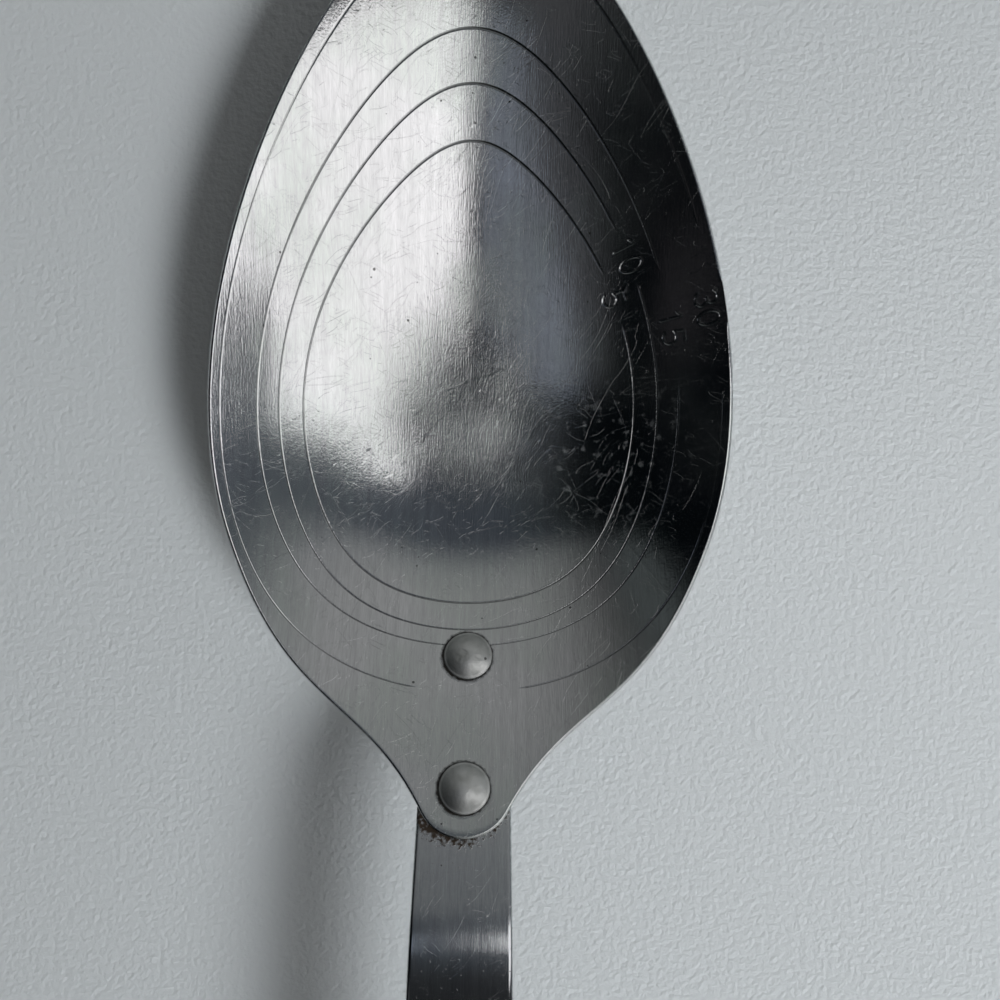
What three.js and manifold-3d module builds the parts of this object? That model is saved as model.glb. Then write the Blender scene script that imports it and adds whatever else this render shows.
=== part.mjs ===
// A stainless serving spoon: a pressed sheet bowl riveted to an arched strap handle.
// Millimetres, +Z up, +Y towards the tip of the bowl. The spoon lies on a table at z = 0 with its rim
// level, on the bottom of the bowl and on the flat end of the handle.
import * as THREE from 'three';
import { mergeVertices } from 'three/addons/utils/BufferGeometryUtils.js';
import Module from 'manifold-3d';

// Bowl: plan reaches are taken from its deepest point to the rim
const BOWL_WIDTH = 64;
const TIP_REACH = 62.6;
const HEEL_REACH = 37.6;
const BOWL_DEPTH = 13;
const SHEET = 0.7;

// Form of the level lines: how round they start, how pointed they are towards the tip, how full the wall is
// and the level above which it runs straight
const TIP_START = 28;
const POINT_AT_BOTTOM = 0.52;
const POINT_AT_RIM = 0.05;
const SIDE_FLATTEN = 0.055;
const WALL_POWER = 2.9;
const WALL_STRAIGHT = 0.86;

// Tang: the back wall runs straight on past the rim and ends in a lobe round the neck rivet
const HEEL_SLOPE = THREE.MathUtils.degToRad(28.5);
const LOBE_RADIUS = 5.8;
const FLARE_START = THREE.MathUtils.degToRad(112);
const FLARE_SHOULDER = 22;
const FLARE_NECK = 14.7;
const FLARE_END = THREE.MathUtils.degToRad(-28);

// Rivets: places are measured along the spoon from the back of the rim
const BOWL_RIVET_INSIDE = 5.3;
const NECK_RIVET_BEYOND = 9.3;
const RIVET_HEAD_DIAMETER = 6.3;
const RIVET_HEAD_HEIGHT = 1.15;
const RIVET_TAIL_DIAMETER = 5.4;
const RIVET_TAIL_HEIGHT = 0.8;
const SHANK_DIAMETER = 3.4;
const SHANK_CLEARANCE = 0.25;
const SEAT_GAP = 0.25;

// Handle: a flat bar under the tang that bends to a gentler rise, arches over and ends flat on the table
const STRAP_THICKNESS = 1.6;
const STRAP_NECK_WIDTH = 10.6;
const STRAP_END_WIDTH = 18;
const STRAP_EDGE = 0.4;
const NECK_STRAIGHT = 6.5;
const NECK_BEND_RADIUS = 30;
const RISE_SLOPE = THREE.MathUtils.degToRad(12);
const ARCH_RADIUS = 190;
const DROP_SLOPE = THREE.MathUtils.degToRad(19);
const TOE_RADIUS = 28;
const PAD_LENGTH = 24;
const HANG_HOLE_DIAMETER = 7.4;
const HANG_HOLE_FROM_END = 9;

// Mesh fineness
const ROW_STEP = 2.8;
const RIM_STEPS = 30;
const FLARE_STEPS = 8;
const LOBE_STEPS = 5;
const ROUND_SEGMENTS = 24;
const DOME_STEPS = 6;
const END_STEPS = 8;
const END_SWEEP = THREE.MathUtils.degToRad(84);
const ARCH_STEP = THREE.MathUtils.degToRad(2.5);
const TOE_STEP = THREE.MathUtils.degToRad(4);

// Numerical search: the highest level tried, how often it is halved, and the steps that slopes are taken over
const HIGHEST_LEVEL = 4;
const HALVINGS = 44;
const PROBE = 0.02;
const ANGLE_PROBE = 0.001;

const wasm = await Module();
wasm.setup();

// Bowl: a family of egg-shaped level lines. Level 0 is the deepest point and level 1 the rim.
const WALL_RISE_SHARE = WALL_POWER * WALL_STRAIGHT ** (WALL_POWER - 1);
const WALL_FACTOR = BOWL_DEPTH / (WALL_STRAIGHT ** WALL_POWER + WALL_RISE_SHARE * (1 - WALL_STRAIGHT));

// Height of the inner face above its deepest point: a curved wall that ends straight
function wallHeight(level) {
  const curved = Math.min(level, WALL_STRAIGHT);
  return WALL_FACTOR * (curved ** WALL_POWER + WALL_RISE_SHARE * (level - curved));
}

// The back wall is straight from the level where the curved wall is as steep as it
const HEEL_STEEPNESS = (Math.tan(HEEL_SLOPE) * HEEL_REACH) / (WALL_FACTOR * WALL_POWER);
const HEEL_LEVEL = HEEL_STEEPNESS ** (1 / (WALL_POWER - 1));
const HEEL_START = HEEL_REACH * HEEL_LEVEL;

function tipReach(level) {
  return level * THREE.MathUtils.lerp(TIP_START, TIP_REACH, level);
}

function backReach(level) {
  if (level <= HEEL_LEVEL) return HEEL_REACH * level;
  return HEEL_START + (wallHeight(level) - wallHeight(HEEL_LEVEL)) / Math.tan(HEEL_SLOPE);
}

// Height of the inner face along the middle of the back
function backHeight(reach) {
  const straight = Math.max(0, reach - HEEL_START);
  return wallHeight((reach - straight) / HEEL_REACH) + straight * Math.tan(HEEL_SLOPE);
}

function pointedness(level) {
  return THREE.MathUtils.lerp(POINT_AT_BOTTOM, POINT_AT_RIM, Math.min(level, 1));
}

// Half-width of a level line where the cosine of its angle from the tip is known
function eggHalfWidth(level, cosine) {
  const sine = Math.sqrt(1 - cosine * cosine);
  const taper = 1 - SIDE_FLATTEN * cosine ** 2 - pointedness(level) * cosine ** 3;
  return (BOWL_WIDTH / 2) * level * sine * taper;
}

function halfWidthAt(level, y) {
  const mean = (tipReach(level) + backReach(level)) / 2;
  const lean = (tipReach(level) - backReach(level)) / 2;
  const root = mean ** 2 + 4 * lean * y;
  if (root < 0) return 0;
  const cosine = (2 * y) / (mean + Math.sqrt(root));
  return Math.abs(cosine) < 1 ? eggHalfWidth(level, cosine) : 0;
}

// The level line that runs through a point of the plan, found by halving
function levelAt(x, y) {
  let low = 0;
  let high = HIGHEST_LEVEL;
  for (let i = 0; i < HALVINGS; i += 1) {
    const middle = (low + high) / 2;
    if (halfWidthAt(middle, y) <= Math.abs(x)) low = middle;
    else high = middle;
  }
  return high;
}

function innerPoint(x, y) {
  return new THREE.Vector3(x, y, SHEET + wallHeight(levelAt(x, y)));
}

function innerNormal(x, y) {
  const slopeX = (innerPoint(x + PROBE, y).z - innerPoint(x - PROBE, y).z) / (2 * PROBE);
  const slopeY = (innerPoint(x, y + PROBE).z - innerPoint(x, y - PROBE).z) / (2 * PROBE);
  return new THREE.Vector3(-slopeX, -slopeY, 1).normalize();
}

// Plan outline of the sheet, from the tip down one side to the end of the lobe
const NECK_RIVET_REACH = HEEL_REACH + NECK_RIVET_BEYOND;
const BOWL_RIVET_REACH = HEEL_REACH - BOWL_RIVET_INSIDE;
const LOBE_REACH = LOBE_RADIUS * Math.cos(HEEL_SLOPE);
const TANG_REACH = NECK_RIVET_REACH + LOBE_REACH;
const BOWL_ROWS = Math.ceil(TANG_REACH / ROW_STEP);

function rimPoint(angle) {
  const cosine = Math.cos(angle);
  const mean = (TIP_REACH + HEEL_REACH) / 2;
  const lean = (TIP_REACH - HEEL_REACH) / 2;
  return new THREE.Vector2(eggHalfWidth(1, cosine), mean * cosine + lean * cosine ** 2);
}

// The lobe is round in the plane of the tang
function lobePoint(angle) {
  return new THREE.Vector2(
    LOBE_RADIUS * Math.cos(angle),
    LOBE_REACH * Math.sin(angle) - NECK_RIVET_REACH,
  );
}

function flareCurve() {
  const start = rimPoint(FLARE_START);
  const startAlong = start.clone().sub(rimPoint(FLARE_START - ANGLE_PROBE)).normalize();
  const end = lobePoint(FLARE_END);
  const endAlong = lobePoint(FLARE_END - ANGLE_PROBE).sub(end).normalize();
  const shoulder = start.clone().addScaledVector(startAlong, FLARE_SHOULDER);
  const neck = end.clone().addScaledVector(endAlong, -FLARE_NECK);
  return new THREE.CubicBezierCurve(start, shoulder, neck, end);
}

function halfOutline() {
  const points = [];
  for (let i = 0; i < RIM_STEPS; i += 1) points.push(rimPoint((FLARE_START * i) / RIM_STEPS));
  points.push(...flareCurve().getPoints(FLARE_STEPS));
  for (let i = 1; i <= LOBE_STEPS; i += 1) {
    points.push(lobePoint(THREE.MathUtils.lerp(FLARE_END, -Math.PI / 2, i / LOBE_STEPS)));
  }
  return points;
}

function fullOutline() {
  const right = halfOutline();
  right[0].x = 0;
  right[right.length - 1].x = 0;
  const left = right.map((point) => new THREE.Vector2(-point.x, point.y));
  return left.concat(right.slice(1, -1).reverse());
}

function indexedGeometry(vertices, triangles) {
  const geometry = new THREE.BufferGeometry();
  const position = new Float32Array(vertices.flatMap((vertex) => vertex.toArray()));
  geometry.setAttribute('position', new THREE.BufferAttribute(position, 3));
  geometry.setIndex(triangles.flat());
  return geometry;
}

// Closed sheet: rows of the inner face run outwards from the deepest point, and the outer face lies one
// sheet thickness behind them
function bowlGeometry() {
  const outline = fullOutline();
  const columns = outline.length;
  const inner = [new THREE.Vector3(0, 0, SHEET)];
  const outer = [new THREE.Vector3(0, 0, 0)];
  for (let row = 1; row <= BOWL_ROWS; row += 1) {
    for (const edge of outline) {
      const x = (edge.x * row) / BOWL_ROWS;
      const y = (edge.y * row) / BOWL_ROWS;
      const point = innerPoint(x, y);
      inner.push(point);
      outer.push(point.clone().addScaledVector(innerNormal(x, y), -SHEET));
    }
  }
  const under = inner.length;
  const at = (row, column) => (row === 0 ? 0 : 1 + (row - 1) * columns + (column % columns));
  const triangles = [];
  const addFace = (a, b, c) => {
    triangles.push([a, b, c], [under + a, under + c, under + b]);
  };
  for (let column = 0; column < columns; column += 1) {
    addFace(0, at(1, column), at(1, column + 1));
    for (let row = 1; row < BOWL_ROWS; row += 1) {
      addFace(at(row, column), at(row + 1, column), at(row + 1, column + 1));
      addFace(at(row, column), at(row + 1, column + 1), at(row, column + 1));
    }
    const here = at(BOWL_ROWS, column);
    const next = at(BOWL_ROWS, column + 1);
    triangles.push([here, under + here, under + next], [here, under + next, next]);
  }
  return indexedGeometry(inner.concat(outer), triangles);
}

// Handle: stations along the middle of the strap, each with its place and its slope in the side view
function heelStation(reach, below) {
  const rise = backHeight(reach + PROBE) - backHeight(reach - PROBE);
  const slope = Math.atan(rise / (2 * PROBE));
  return {
    y: -reach - below * Math.sin(slope),
    z: SHEET + backHeight(reach) - below * Math.cos(slope),
    slope,
  };
}

// Stations along an arc that turns from the last station's slope to another
function bendTo(stations, radius, slope, step) {
  const start = stations[stations.length - 1];
  const turn = slope - start.slope;
  const count = Math.max(1, Math.ceil(Math.abs(turn) / step));
  const side = radius * Math.sign(turn);
  for (let i = 1; i <= count; i += 1) {
    const now = start.slope + (turn * i) / count;
    stations.push({
      y: start.y - side * (Math.sin(now) - Math.sin(start.slope)),
      z: start.z + side * (Math.cos(start.slope) - Math.cos(now)),
      slope: now,
    });
  }
}

function runOn(stations, length) {
  const start = stations[stations.length - 1];
  stations.push({
    y: start.y - length * Math.cos(start.slope),
    z: start.z + length * Math.sin(start.slope),
    slope: start.slope,
  });
}

const STRAP_DEPTH = SHEET + SEAT_GAP + STRAP_THICKNESS / 2;
const NECK_END_REACH = TANG_REACH + NECK_STRAIGHT;

function strapSpine() {
  const stations = [BOWL_RIVET_REACH, NECK_END_REACH].map((reach) => heelStation(reach, STRAP_DEPTH));
  bendTo(stations, NECK_BEND_RADIUS, RISE_SLOPE, ARCH_STEP);
  bendTo(stations, ARCH_RADIUS, -DROP_SLOPE, ARCH_STEP);
  const crestEnd = stations[stations.length - 1];
  const toeDrop = TOE_RADIUS * (1 - Math.cos(DROP_SLOPE));
  const drop = crestEnd.z - toeDrop - STRAP_THICKNESS / 2;
  runOn(stations, drop / Math.sin(DROP_SLOPE));
  bendTo(stations, TOE_RADIUS, 0, TOE_STEP);
  runOn(stations, PAD_LENGTH - STRAP_END_WIDTH / 2);
  return stations;
}

// Half-round end of the strap: stations that narrow on a circle, placed by how far out they lie
function roundedEnd(radius, stationAt) {
  const stations = [];
  for (let i = 1; i <= END_STEPS; i += 1) {
    const angle = (i / END_STEPS) * END_SWEEP;
    stations.push({ ...stationAt(radius * Math.sin(angle)), halfWidth: radius * Math.cos(angle) });
  }
  return stations;
}

function strapStations() {
  const spine = strapSpine();
  let walked = 0;
  spine.forEach((station, i) => {
    if (i > 0) walked += Math.hypot(station.y - spine[i - 1].y, station.z - spine[i - 1].z);
    station.walked = walked;
  });
  for (const station of spine) {
    const share = station.walked / walked;
    station.halfWidth = THREE.MathUtils.lerp(STRAP_NECK_WIDTH, STRAP_END_WIDTH, share) / 2;
  }
  const padEnd = spine[spine.length - 1];
  const underHeel = (out) => heelStation(BOWL_RIVET_REACH - out * Math.cos(HEEL_SLOPE), STRAP_DEPTH);
  const alongPad = (out) => ({ ...padEnd, y: padEnd.y - out });
  return [
    ...roundedEnd(STRAP_NECK_WIDTH / 2, underHeel).reverse(),
    ...spine,
    ...roundedEnd(STRAP_END_WIDTH / 2, alongPad),
  ];
}

// Cross-section of the strap: a flat bar with broken edges
function strapSection({ y, z, slope, halfWidth }) {
  const edge = Math.min(STRAP_EDGE, halfWidth / 2);
  const half = STRAP_THICKNESS / 2;
  const wide = halfWidth;
  const flat = halfWidth - edge;
  const thin = half - STRAP_EDGE;
  const corners = [
    [wide, -thin],
    [wide, thin],
    [flat, half],
    [-flat, half],
    [-wide, thin],
    [-wide, -thin],
    [-flat, -half],
    [flat, -half],
  ];
  return corners.map(
    ([across, up]) => new THREE.Vector3(across, y + up * Math.sin(slope), z + up * Math.cos(slope)),
  );
}

function loftGeometry(sections) {
  const size = sections[0].length;
  const triangles = [];
  for (let k = 0; k + 1 < sections.length; k += 1) {
    for (let m = 0; m < size; m += 1) {
      const here = k * size + m;
      const side = k * size + ((m + 1) % size);
      triangles.push([here, side, side + size], [here, side + size, here + size]);
    }
  }
  const last = (sections.length - 1) * size;
  for (let m = 1; m + 1 < size; m += 1) {
    triangles.push([0, m + 1, m], [last, last + m, last + m + 1]);
  }
  return indexedGeometry(sections.flat(), triangles);
}

// Joining and cutting closed solids
function toSolid(geometry, matrix = new THREE.Matrix4()) {
  const bare = geometry.clone().applyMatrix4(matrix);
  bare.deleteAttribute('normal');
  bare.deleteAttribute('uv');
  const merged = mergeVertices(bare);
  return new wasm.Manifold(
    new wasm.Mesh({
      numProp: 3,
      vertProperties: new Float32Array(merged.attributes.position.array),
      triVerts: new Uint32Array(merged.index.array),
    }),
  );
}

function toGeometry(solid) {
  const mesh = solid.getMesh();
  const geometry = new THREE.BufferGeometry();
  geometry.setAttribute('position', new THREE.BufferAttribute(mesh.vertProperties, 3));
  geometry.setIndex(new THREE.BufferAttribute(mesh.triVerts, 1));
  return geometry;
}

function cut(geometry, cutters) {
  return toGeometry(cutters.reduce((solid, cutter) => solid.subtract(cutter), toSolid(geometry)));
}

// Rivets: turned about +Z, with the inner face of the sheet at their z = 0
function rivetMatrix(reach) {
  const { y, z, slope } = heelStation(reach, 0);
  return new THREE.Matrix4().makeRotationX(-slope).setPosition(0, y, z);
}

const RIVET_GRIP = SHEET + SEAT_GAP + STRAP_THICKNESS;

// Half of a dome's profile, from its crown on the axis out to its flat side
function domeProfile(diameter, height, flat) {
  const points = [];
  for (let i = 0; i <= DOME_STEPS; i += 1) {
    const angle = ((i / DOME_STEPS) * Math.PI) / 2;
    points.push(
      new THREE.Vector2((diameter / 2) * Math.sin(angle), flat + height * Math.cos(angle)),
    );
  }
  return points;
}

function rivetGeometry() {
  const top = SEAT_GAP;
  const bottom = -RIVET_GRIP - SEAT_GAP;
  const profile = [
    ...domeProfile(RIVET_TAIL_DIAMETER, -RIVET_TAIL_HEIGHT, bottom),
    new THREE.Vector2(SHANK_DIAMETER / 2, bottom),
    new THREE.Vector2(SHANK_DIAMETER / 2, top),
    ...domeProfile(RIVET_HEAD_DIAMETER, RIVET_HEAD_HEIGHT, top).reverse(),
  ];
  return new THREE.LatheGeometry(profile, ROUND_SEGMENTS).rotateX(Math.PI / 2);
}

function rivetHole(reach) {
  const radius = SHANK_DIAMETER / 2 + SHANK_CLEARANCE;
  const cutter = new THREE.CylinderGeometry(radius, radius, 4 * RIVET_GRIP, ROUND_SEGMENTS);
  return toSolid(cutter.rotateX(Math.PI / 2), rivetMatrix(reach));
}

function hangHole(endY) {
  const radius = HANG_HOLE_DIAMETER / 2;
  const cutter = new THREE.CylinderGeometry(radius, radius, 4 * STRAP_THICKNESS, ROUND_SEGMENTS);
  cutter.rotateX(Math.PI / 2);
  cutter.translate(0, endY + HANG_HOLE_FROM_END, STRAP_THICKNESS / 2);
  return toSolid(cutter);
}

function steel(color, roughness) {
  return new THREE.MeshStandardMaterial({ color, roughness, metalness: 1 });
}

function piece(name, geometry, material) {
  const mesh = new THREE.Mesh(geometry, material);
  mesh.name = name;
  return mesh;
}

const rivetReaches = { bowl_rivet: BOWL_RIVET_REACH, neck_rivet: NECK_RIVET_REACH };
const rivetHoles = Object.values(rivetReaches).map(rivetHole);
const stations = strapStations();
const handleEndY = stations[stations.length - 1].y;

const spoon = new THREE.Group();
spoon.add(piece('bowl', cut(bowlGeometry(), rivetHoles), steel('#b4b6b4', 0.3)));
const strap = loftGeometry(stations.map(strapSection));
spoon.add(piece('handle', cut(strap, [...rivetHoles, hangHole(handleEndY)]), steel('#a3a5a6', 0.35)));
for (const [name, reach] of Object.entries(rivetReaches)) {
  const rivet = piece(name, rivetGeometry(), steel('#9d9f9d', 0.4));
  rivet.applyMatrix4(rivetMatrix(reach));
  spoon.add(rivet);
}

// The origin lies on the table at the middle of the spoon's length
const extent = new THREE.Box3().setFromObject(spoon);
spoon.position.y = -(extent.min.y + extent.max.y) / 2;
spoon.updateMatrixWorld(true);

export default spoon;
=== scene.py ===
"""Serving spoon: a pressed stainless bowl with level lines, riveted to a strap handle.

Sizes are millimetres in the spoon's own plan: zero is the deepest point inside the bowl, +Y runs to
the tip and +Z up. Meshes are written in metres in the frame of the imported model.
"""

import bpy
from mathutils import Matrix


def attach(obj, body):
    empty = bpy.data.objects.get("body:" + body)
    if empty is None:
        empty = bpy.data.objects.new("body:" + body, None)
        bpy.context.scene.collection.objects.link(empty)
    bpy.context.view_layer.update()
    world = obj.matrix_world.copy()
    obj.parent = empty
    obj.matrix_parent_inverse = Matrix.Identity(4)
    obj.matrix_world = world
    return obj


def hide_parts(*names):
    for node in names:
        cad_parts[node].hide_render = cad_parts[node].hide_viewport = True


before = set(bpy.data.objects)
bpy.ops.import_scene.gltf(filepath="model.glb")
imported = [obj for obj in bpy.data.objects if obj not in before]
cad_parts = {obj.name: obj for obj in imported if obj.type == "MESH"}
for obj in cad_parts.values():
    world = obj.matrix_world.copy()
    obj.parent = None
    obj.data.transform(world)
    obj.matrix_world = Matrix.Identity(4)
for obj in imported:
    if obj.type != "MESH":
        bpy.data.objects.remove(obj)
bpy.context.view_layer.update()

import logging
import math
from dataclasses import dataclass
from enum import Enum

import bmesh
import bpy
import numpy as np
from mathutils import Quaternion, Vector

Socket = bpy.types.NodeSocket
Material = bpy.types.Material
Rgba = tuple[float, float, float, float]
Point = tuple[float, float, float]
MM = 0.001
BOWL_Y = 92.675
LOG = logging.getLogger("spoon")
SMOOTH = {"interpolation_type": "SMOOTHSTEP"}
# A mix of colours takes them at its inputs 6 and 7 and gives its result at output 2.
COLOUR_MIX = {"output": 2, "data_type": "RGBA"}


def linear(code: str) -> Rgba:
    """Turns an sRGB hex colour into linear RGBA.

    Args:
        code: the colour as "#RRGGBB".

    Returns:
        The linear colour with full alpha.
    """
    parts = [int(code[i : i + 2], 16) / 255.0 for i in (1, 3, 5)]
    return (*[p / 12.92 if p <= 0.04045 else ((p + 0.055) / 1.055) ** 2.4 for p in parts], 1.0)


def unit(vectors: np.ndarray) -> np.ndarray:
    """Scales vectors to length 1."""
    return vectors / np.linalg.norm(vectors, axis=-1, keepdims=True)


def placed(points: np.ndarray) -> np.ndarray:
    """Moves plan points in millimetres to the frame in metres."""
    return (points + np.array([0.0, BOWL_Y, 0.0])) * MM


def scale_of(width: float) -> float:
    """Scale of a texture whose marks are about this wide, in millimetres."""
    return 1.0 / (width * MM)


def linked(name: str, data: bpy.types.ID) -> bpy.types.Object:
    """Makes an object and links it to the scene.

    Args:
        name: the object's name.
        data: its mesh, lamp or camera.

    Returns:
        The object.
    """
    made = bpy.data.objects.new(name, data)
    bpy.context.scene.collection.objects.link(made)
    return made


def sealed(work: bmesh.types.BMesh, mesh: bpy.types.Mesh) -> bpy.types.Mesh:
    """Turns the faces of a working mesh outward and writes it out.

    Args:
        work: the working mesh, which is freed.
        mesh: the mesh to write to.

    Returns:
        The same mesh.
    """
    bmesh.ops.recalc_face_normals(work, faces=work.faces)
    work.to_mesh(mesh)
    work.free()
    return mesh


def chart_plan(mesh: bpy.types.Mesh, span: float, offset: tuple[float, float]) -> None:
    """Writes the UV map plan, which follows X and Y.

    Args:
        mesh: the mesh, in metres.
        span: the length that the map covers, in millimetres.
        offset: place of the frame's origin in the map.
    """
    flat = np.empty(len(mesh.vertices) * 3)
    mesh.vertices.foreach_get("co", flat)
    corners = np.empty(len(mesh.loops), dtype=np.int32)
    mesh.loops.foreach_get("vertex_index", corners)
    plan = flat.reshape(-1, 3)[corners, :2] / (span * MM) + offset
    mesh.uv_layers.new(name="plan").uv.foreach_set("vector", plan.ravel())


class Graph:
    """A node tree that grows one node at a time."""

    def __init__(self, tree: bpy.types.NodeTree) -> None:
        """Starts from an empty tree."""
        self.tree = tree
        tree.nodes.clear()

    def add(
        self, kind: str, feeds: dict | None = None, output: int | str = 0, **settings: object
    ) -> Socket | None:
        """Adds a node with its settings, and fills or links its inputs.

        Args:
            kind: the node's type name.
            feeds: a value or an output socket for each input, by name or number.
            output: the output that is wanted, by name or number.
            settings: properties of the node itself.

        Returns:
            The wanted output, or nothing where the node has no outputs.
        """
        node = self.tree.nodes.new(kind)
        for key, value in settings.items():
            setattr(node, key, value)
        for key, value in (feeds or {}).items():
            if isinstance(value, Socket):
                self.tree.links.new(value, node.inputs[key])
            else:
                node.inputs[key].default_value = value
        return node.outputs[output] if len(node.outputs) else None


class Surface(Graph):
    """The nodes of a new material, which work from Object coordinates."""

    def __init__(self, name: str) -> None:
        """Makes the material and its first node.

        Args:
            name: the material's name.
        """
        self.material = bpy.data.materials.new(name)
        self.material.use_nodes = True
        super().__init__(self.material.node_tree)
        self.place = self.add("ShaderNodeTexCoord", output="Object")

    def close(self, relief: Socket, inputs: dict[str, object]) -> Material:
        """Ends the nodes with a relief and the shader.

        Args:
            relief: height of the surface in metres.
            inputs: the shader's inputs by name, apart from its normal.

        Returns:
            The material.
        """
        bump = self.add("ShaderNodeBump", {"Height": relief, "Distance": 1.0, "Strength": 1.0})
        shader = self.add("ShaderNodeBsdfPrincipled", {**inputs, "Normal": bump})
        self.add("ShaderNodeOutputMaterial", {"Surface": shader})
        return self.material


class Shape(Graph):
    """Geometry Nodes that make one mesh from another, with an input for each size."""

    def __init__(self, name: str, kinds: dict[str, str]) -> None:
        """Makes the tree and its inputs.

        Args:
            name: the tree's name.
            kinds: the type of each input by its name: first the mesh, last the material Finish.
        """
        tree = bpy.data.node_groups.new(name, "GeometryNodeTree")
        self.keys = {}
        for key, kind in kinds.items():
            socket = tree.interface.new_socket(key, in_out="INPUT", socket_type="NodeSocket" + kind)
            self.keys[key] = socket.identifier
        tree.interface.new_socket("Result", in_out="OUTPUT", socket_type="NodeSocketGeometry")
        super().__init__(tree)
        self.sizes = self.add("NodeGroupInput").node.outputs

    def close(self, geometry: Socket) -> None:
        """Ends the nodes with the finished geometry, whole and dressed.

        Args:
            geometry: the finished geometry.
        """
        whole = self.add("GeometryNodeRealizeInstances", {"Geometry": geometry})
        dress = {"Geometry": whole, "Material": self.sizes["Finish"]}
        self.add("NodeGroupOutput", {"Result": self.add("GeometryNodeSetMaterial", dress)})

    def run(self, name: str, mesh: bpy.types.Mesh, sizes: dict[str, object]) -> bpy.types.Mesh:
        """Runs the nodes on a mesh.

        Args:
            name: name for the result.
            mesh: the mesh that the nodes start from.
            sizes: a value for each other input, by its name.

        Returns:
            The result as a plain mesh.
        """
        holder = linked(name, mesh)
        modifier = holder.modifiers.new(name, "NODES")
        modifier.node_group = self.tree
        for key, value in sizes.items():
            modifier[self.keys[key]] = value
        graph = bpy.context.evaluated_depsgraph_get()
        made = bpy.data.meshes.new_from_object(holder.evaluated_get(graph))
        made.name = name
        bpy.data.objects.remove(holder)
        return made


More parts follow.
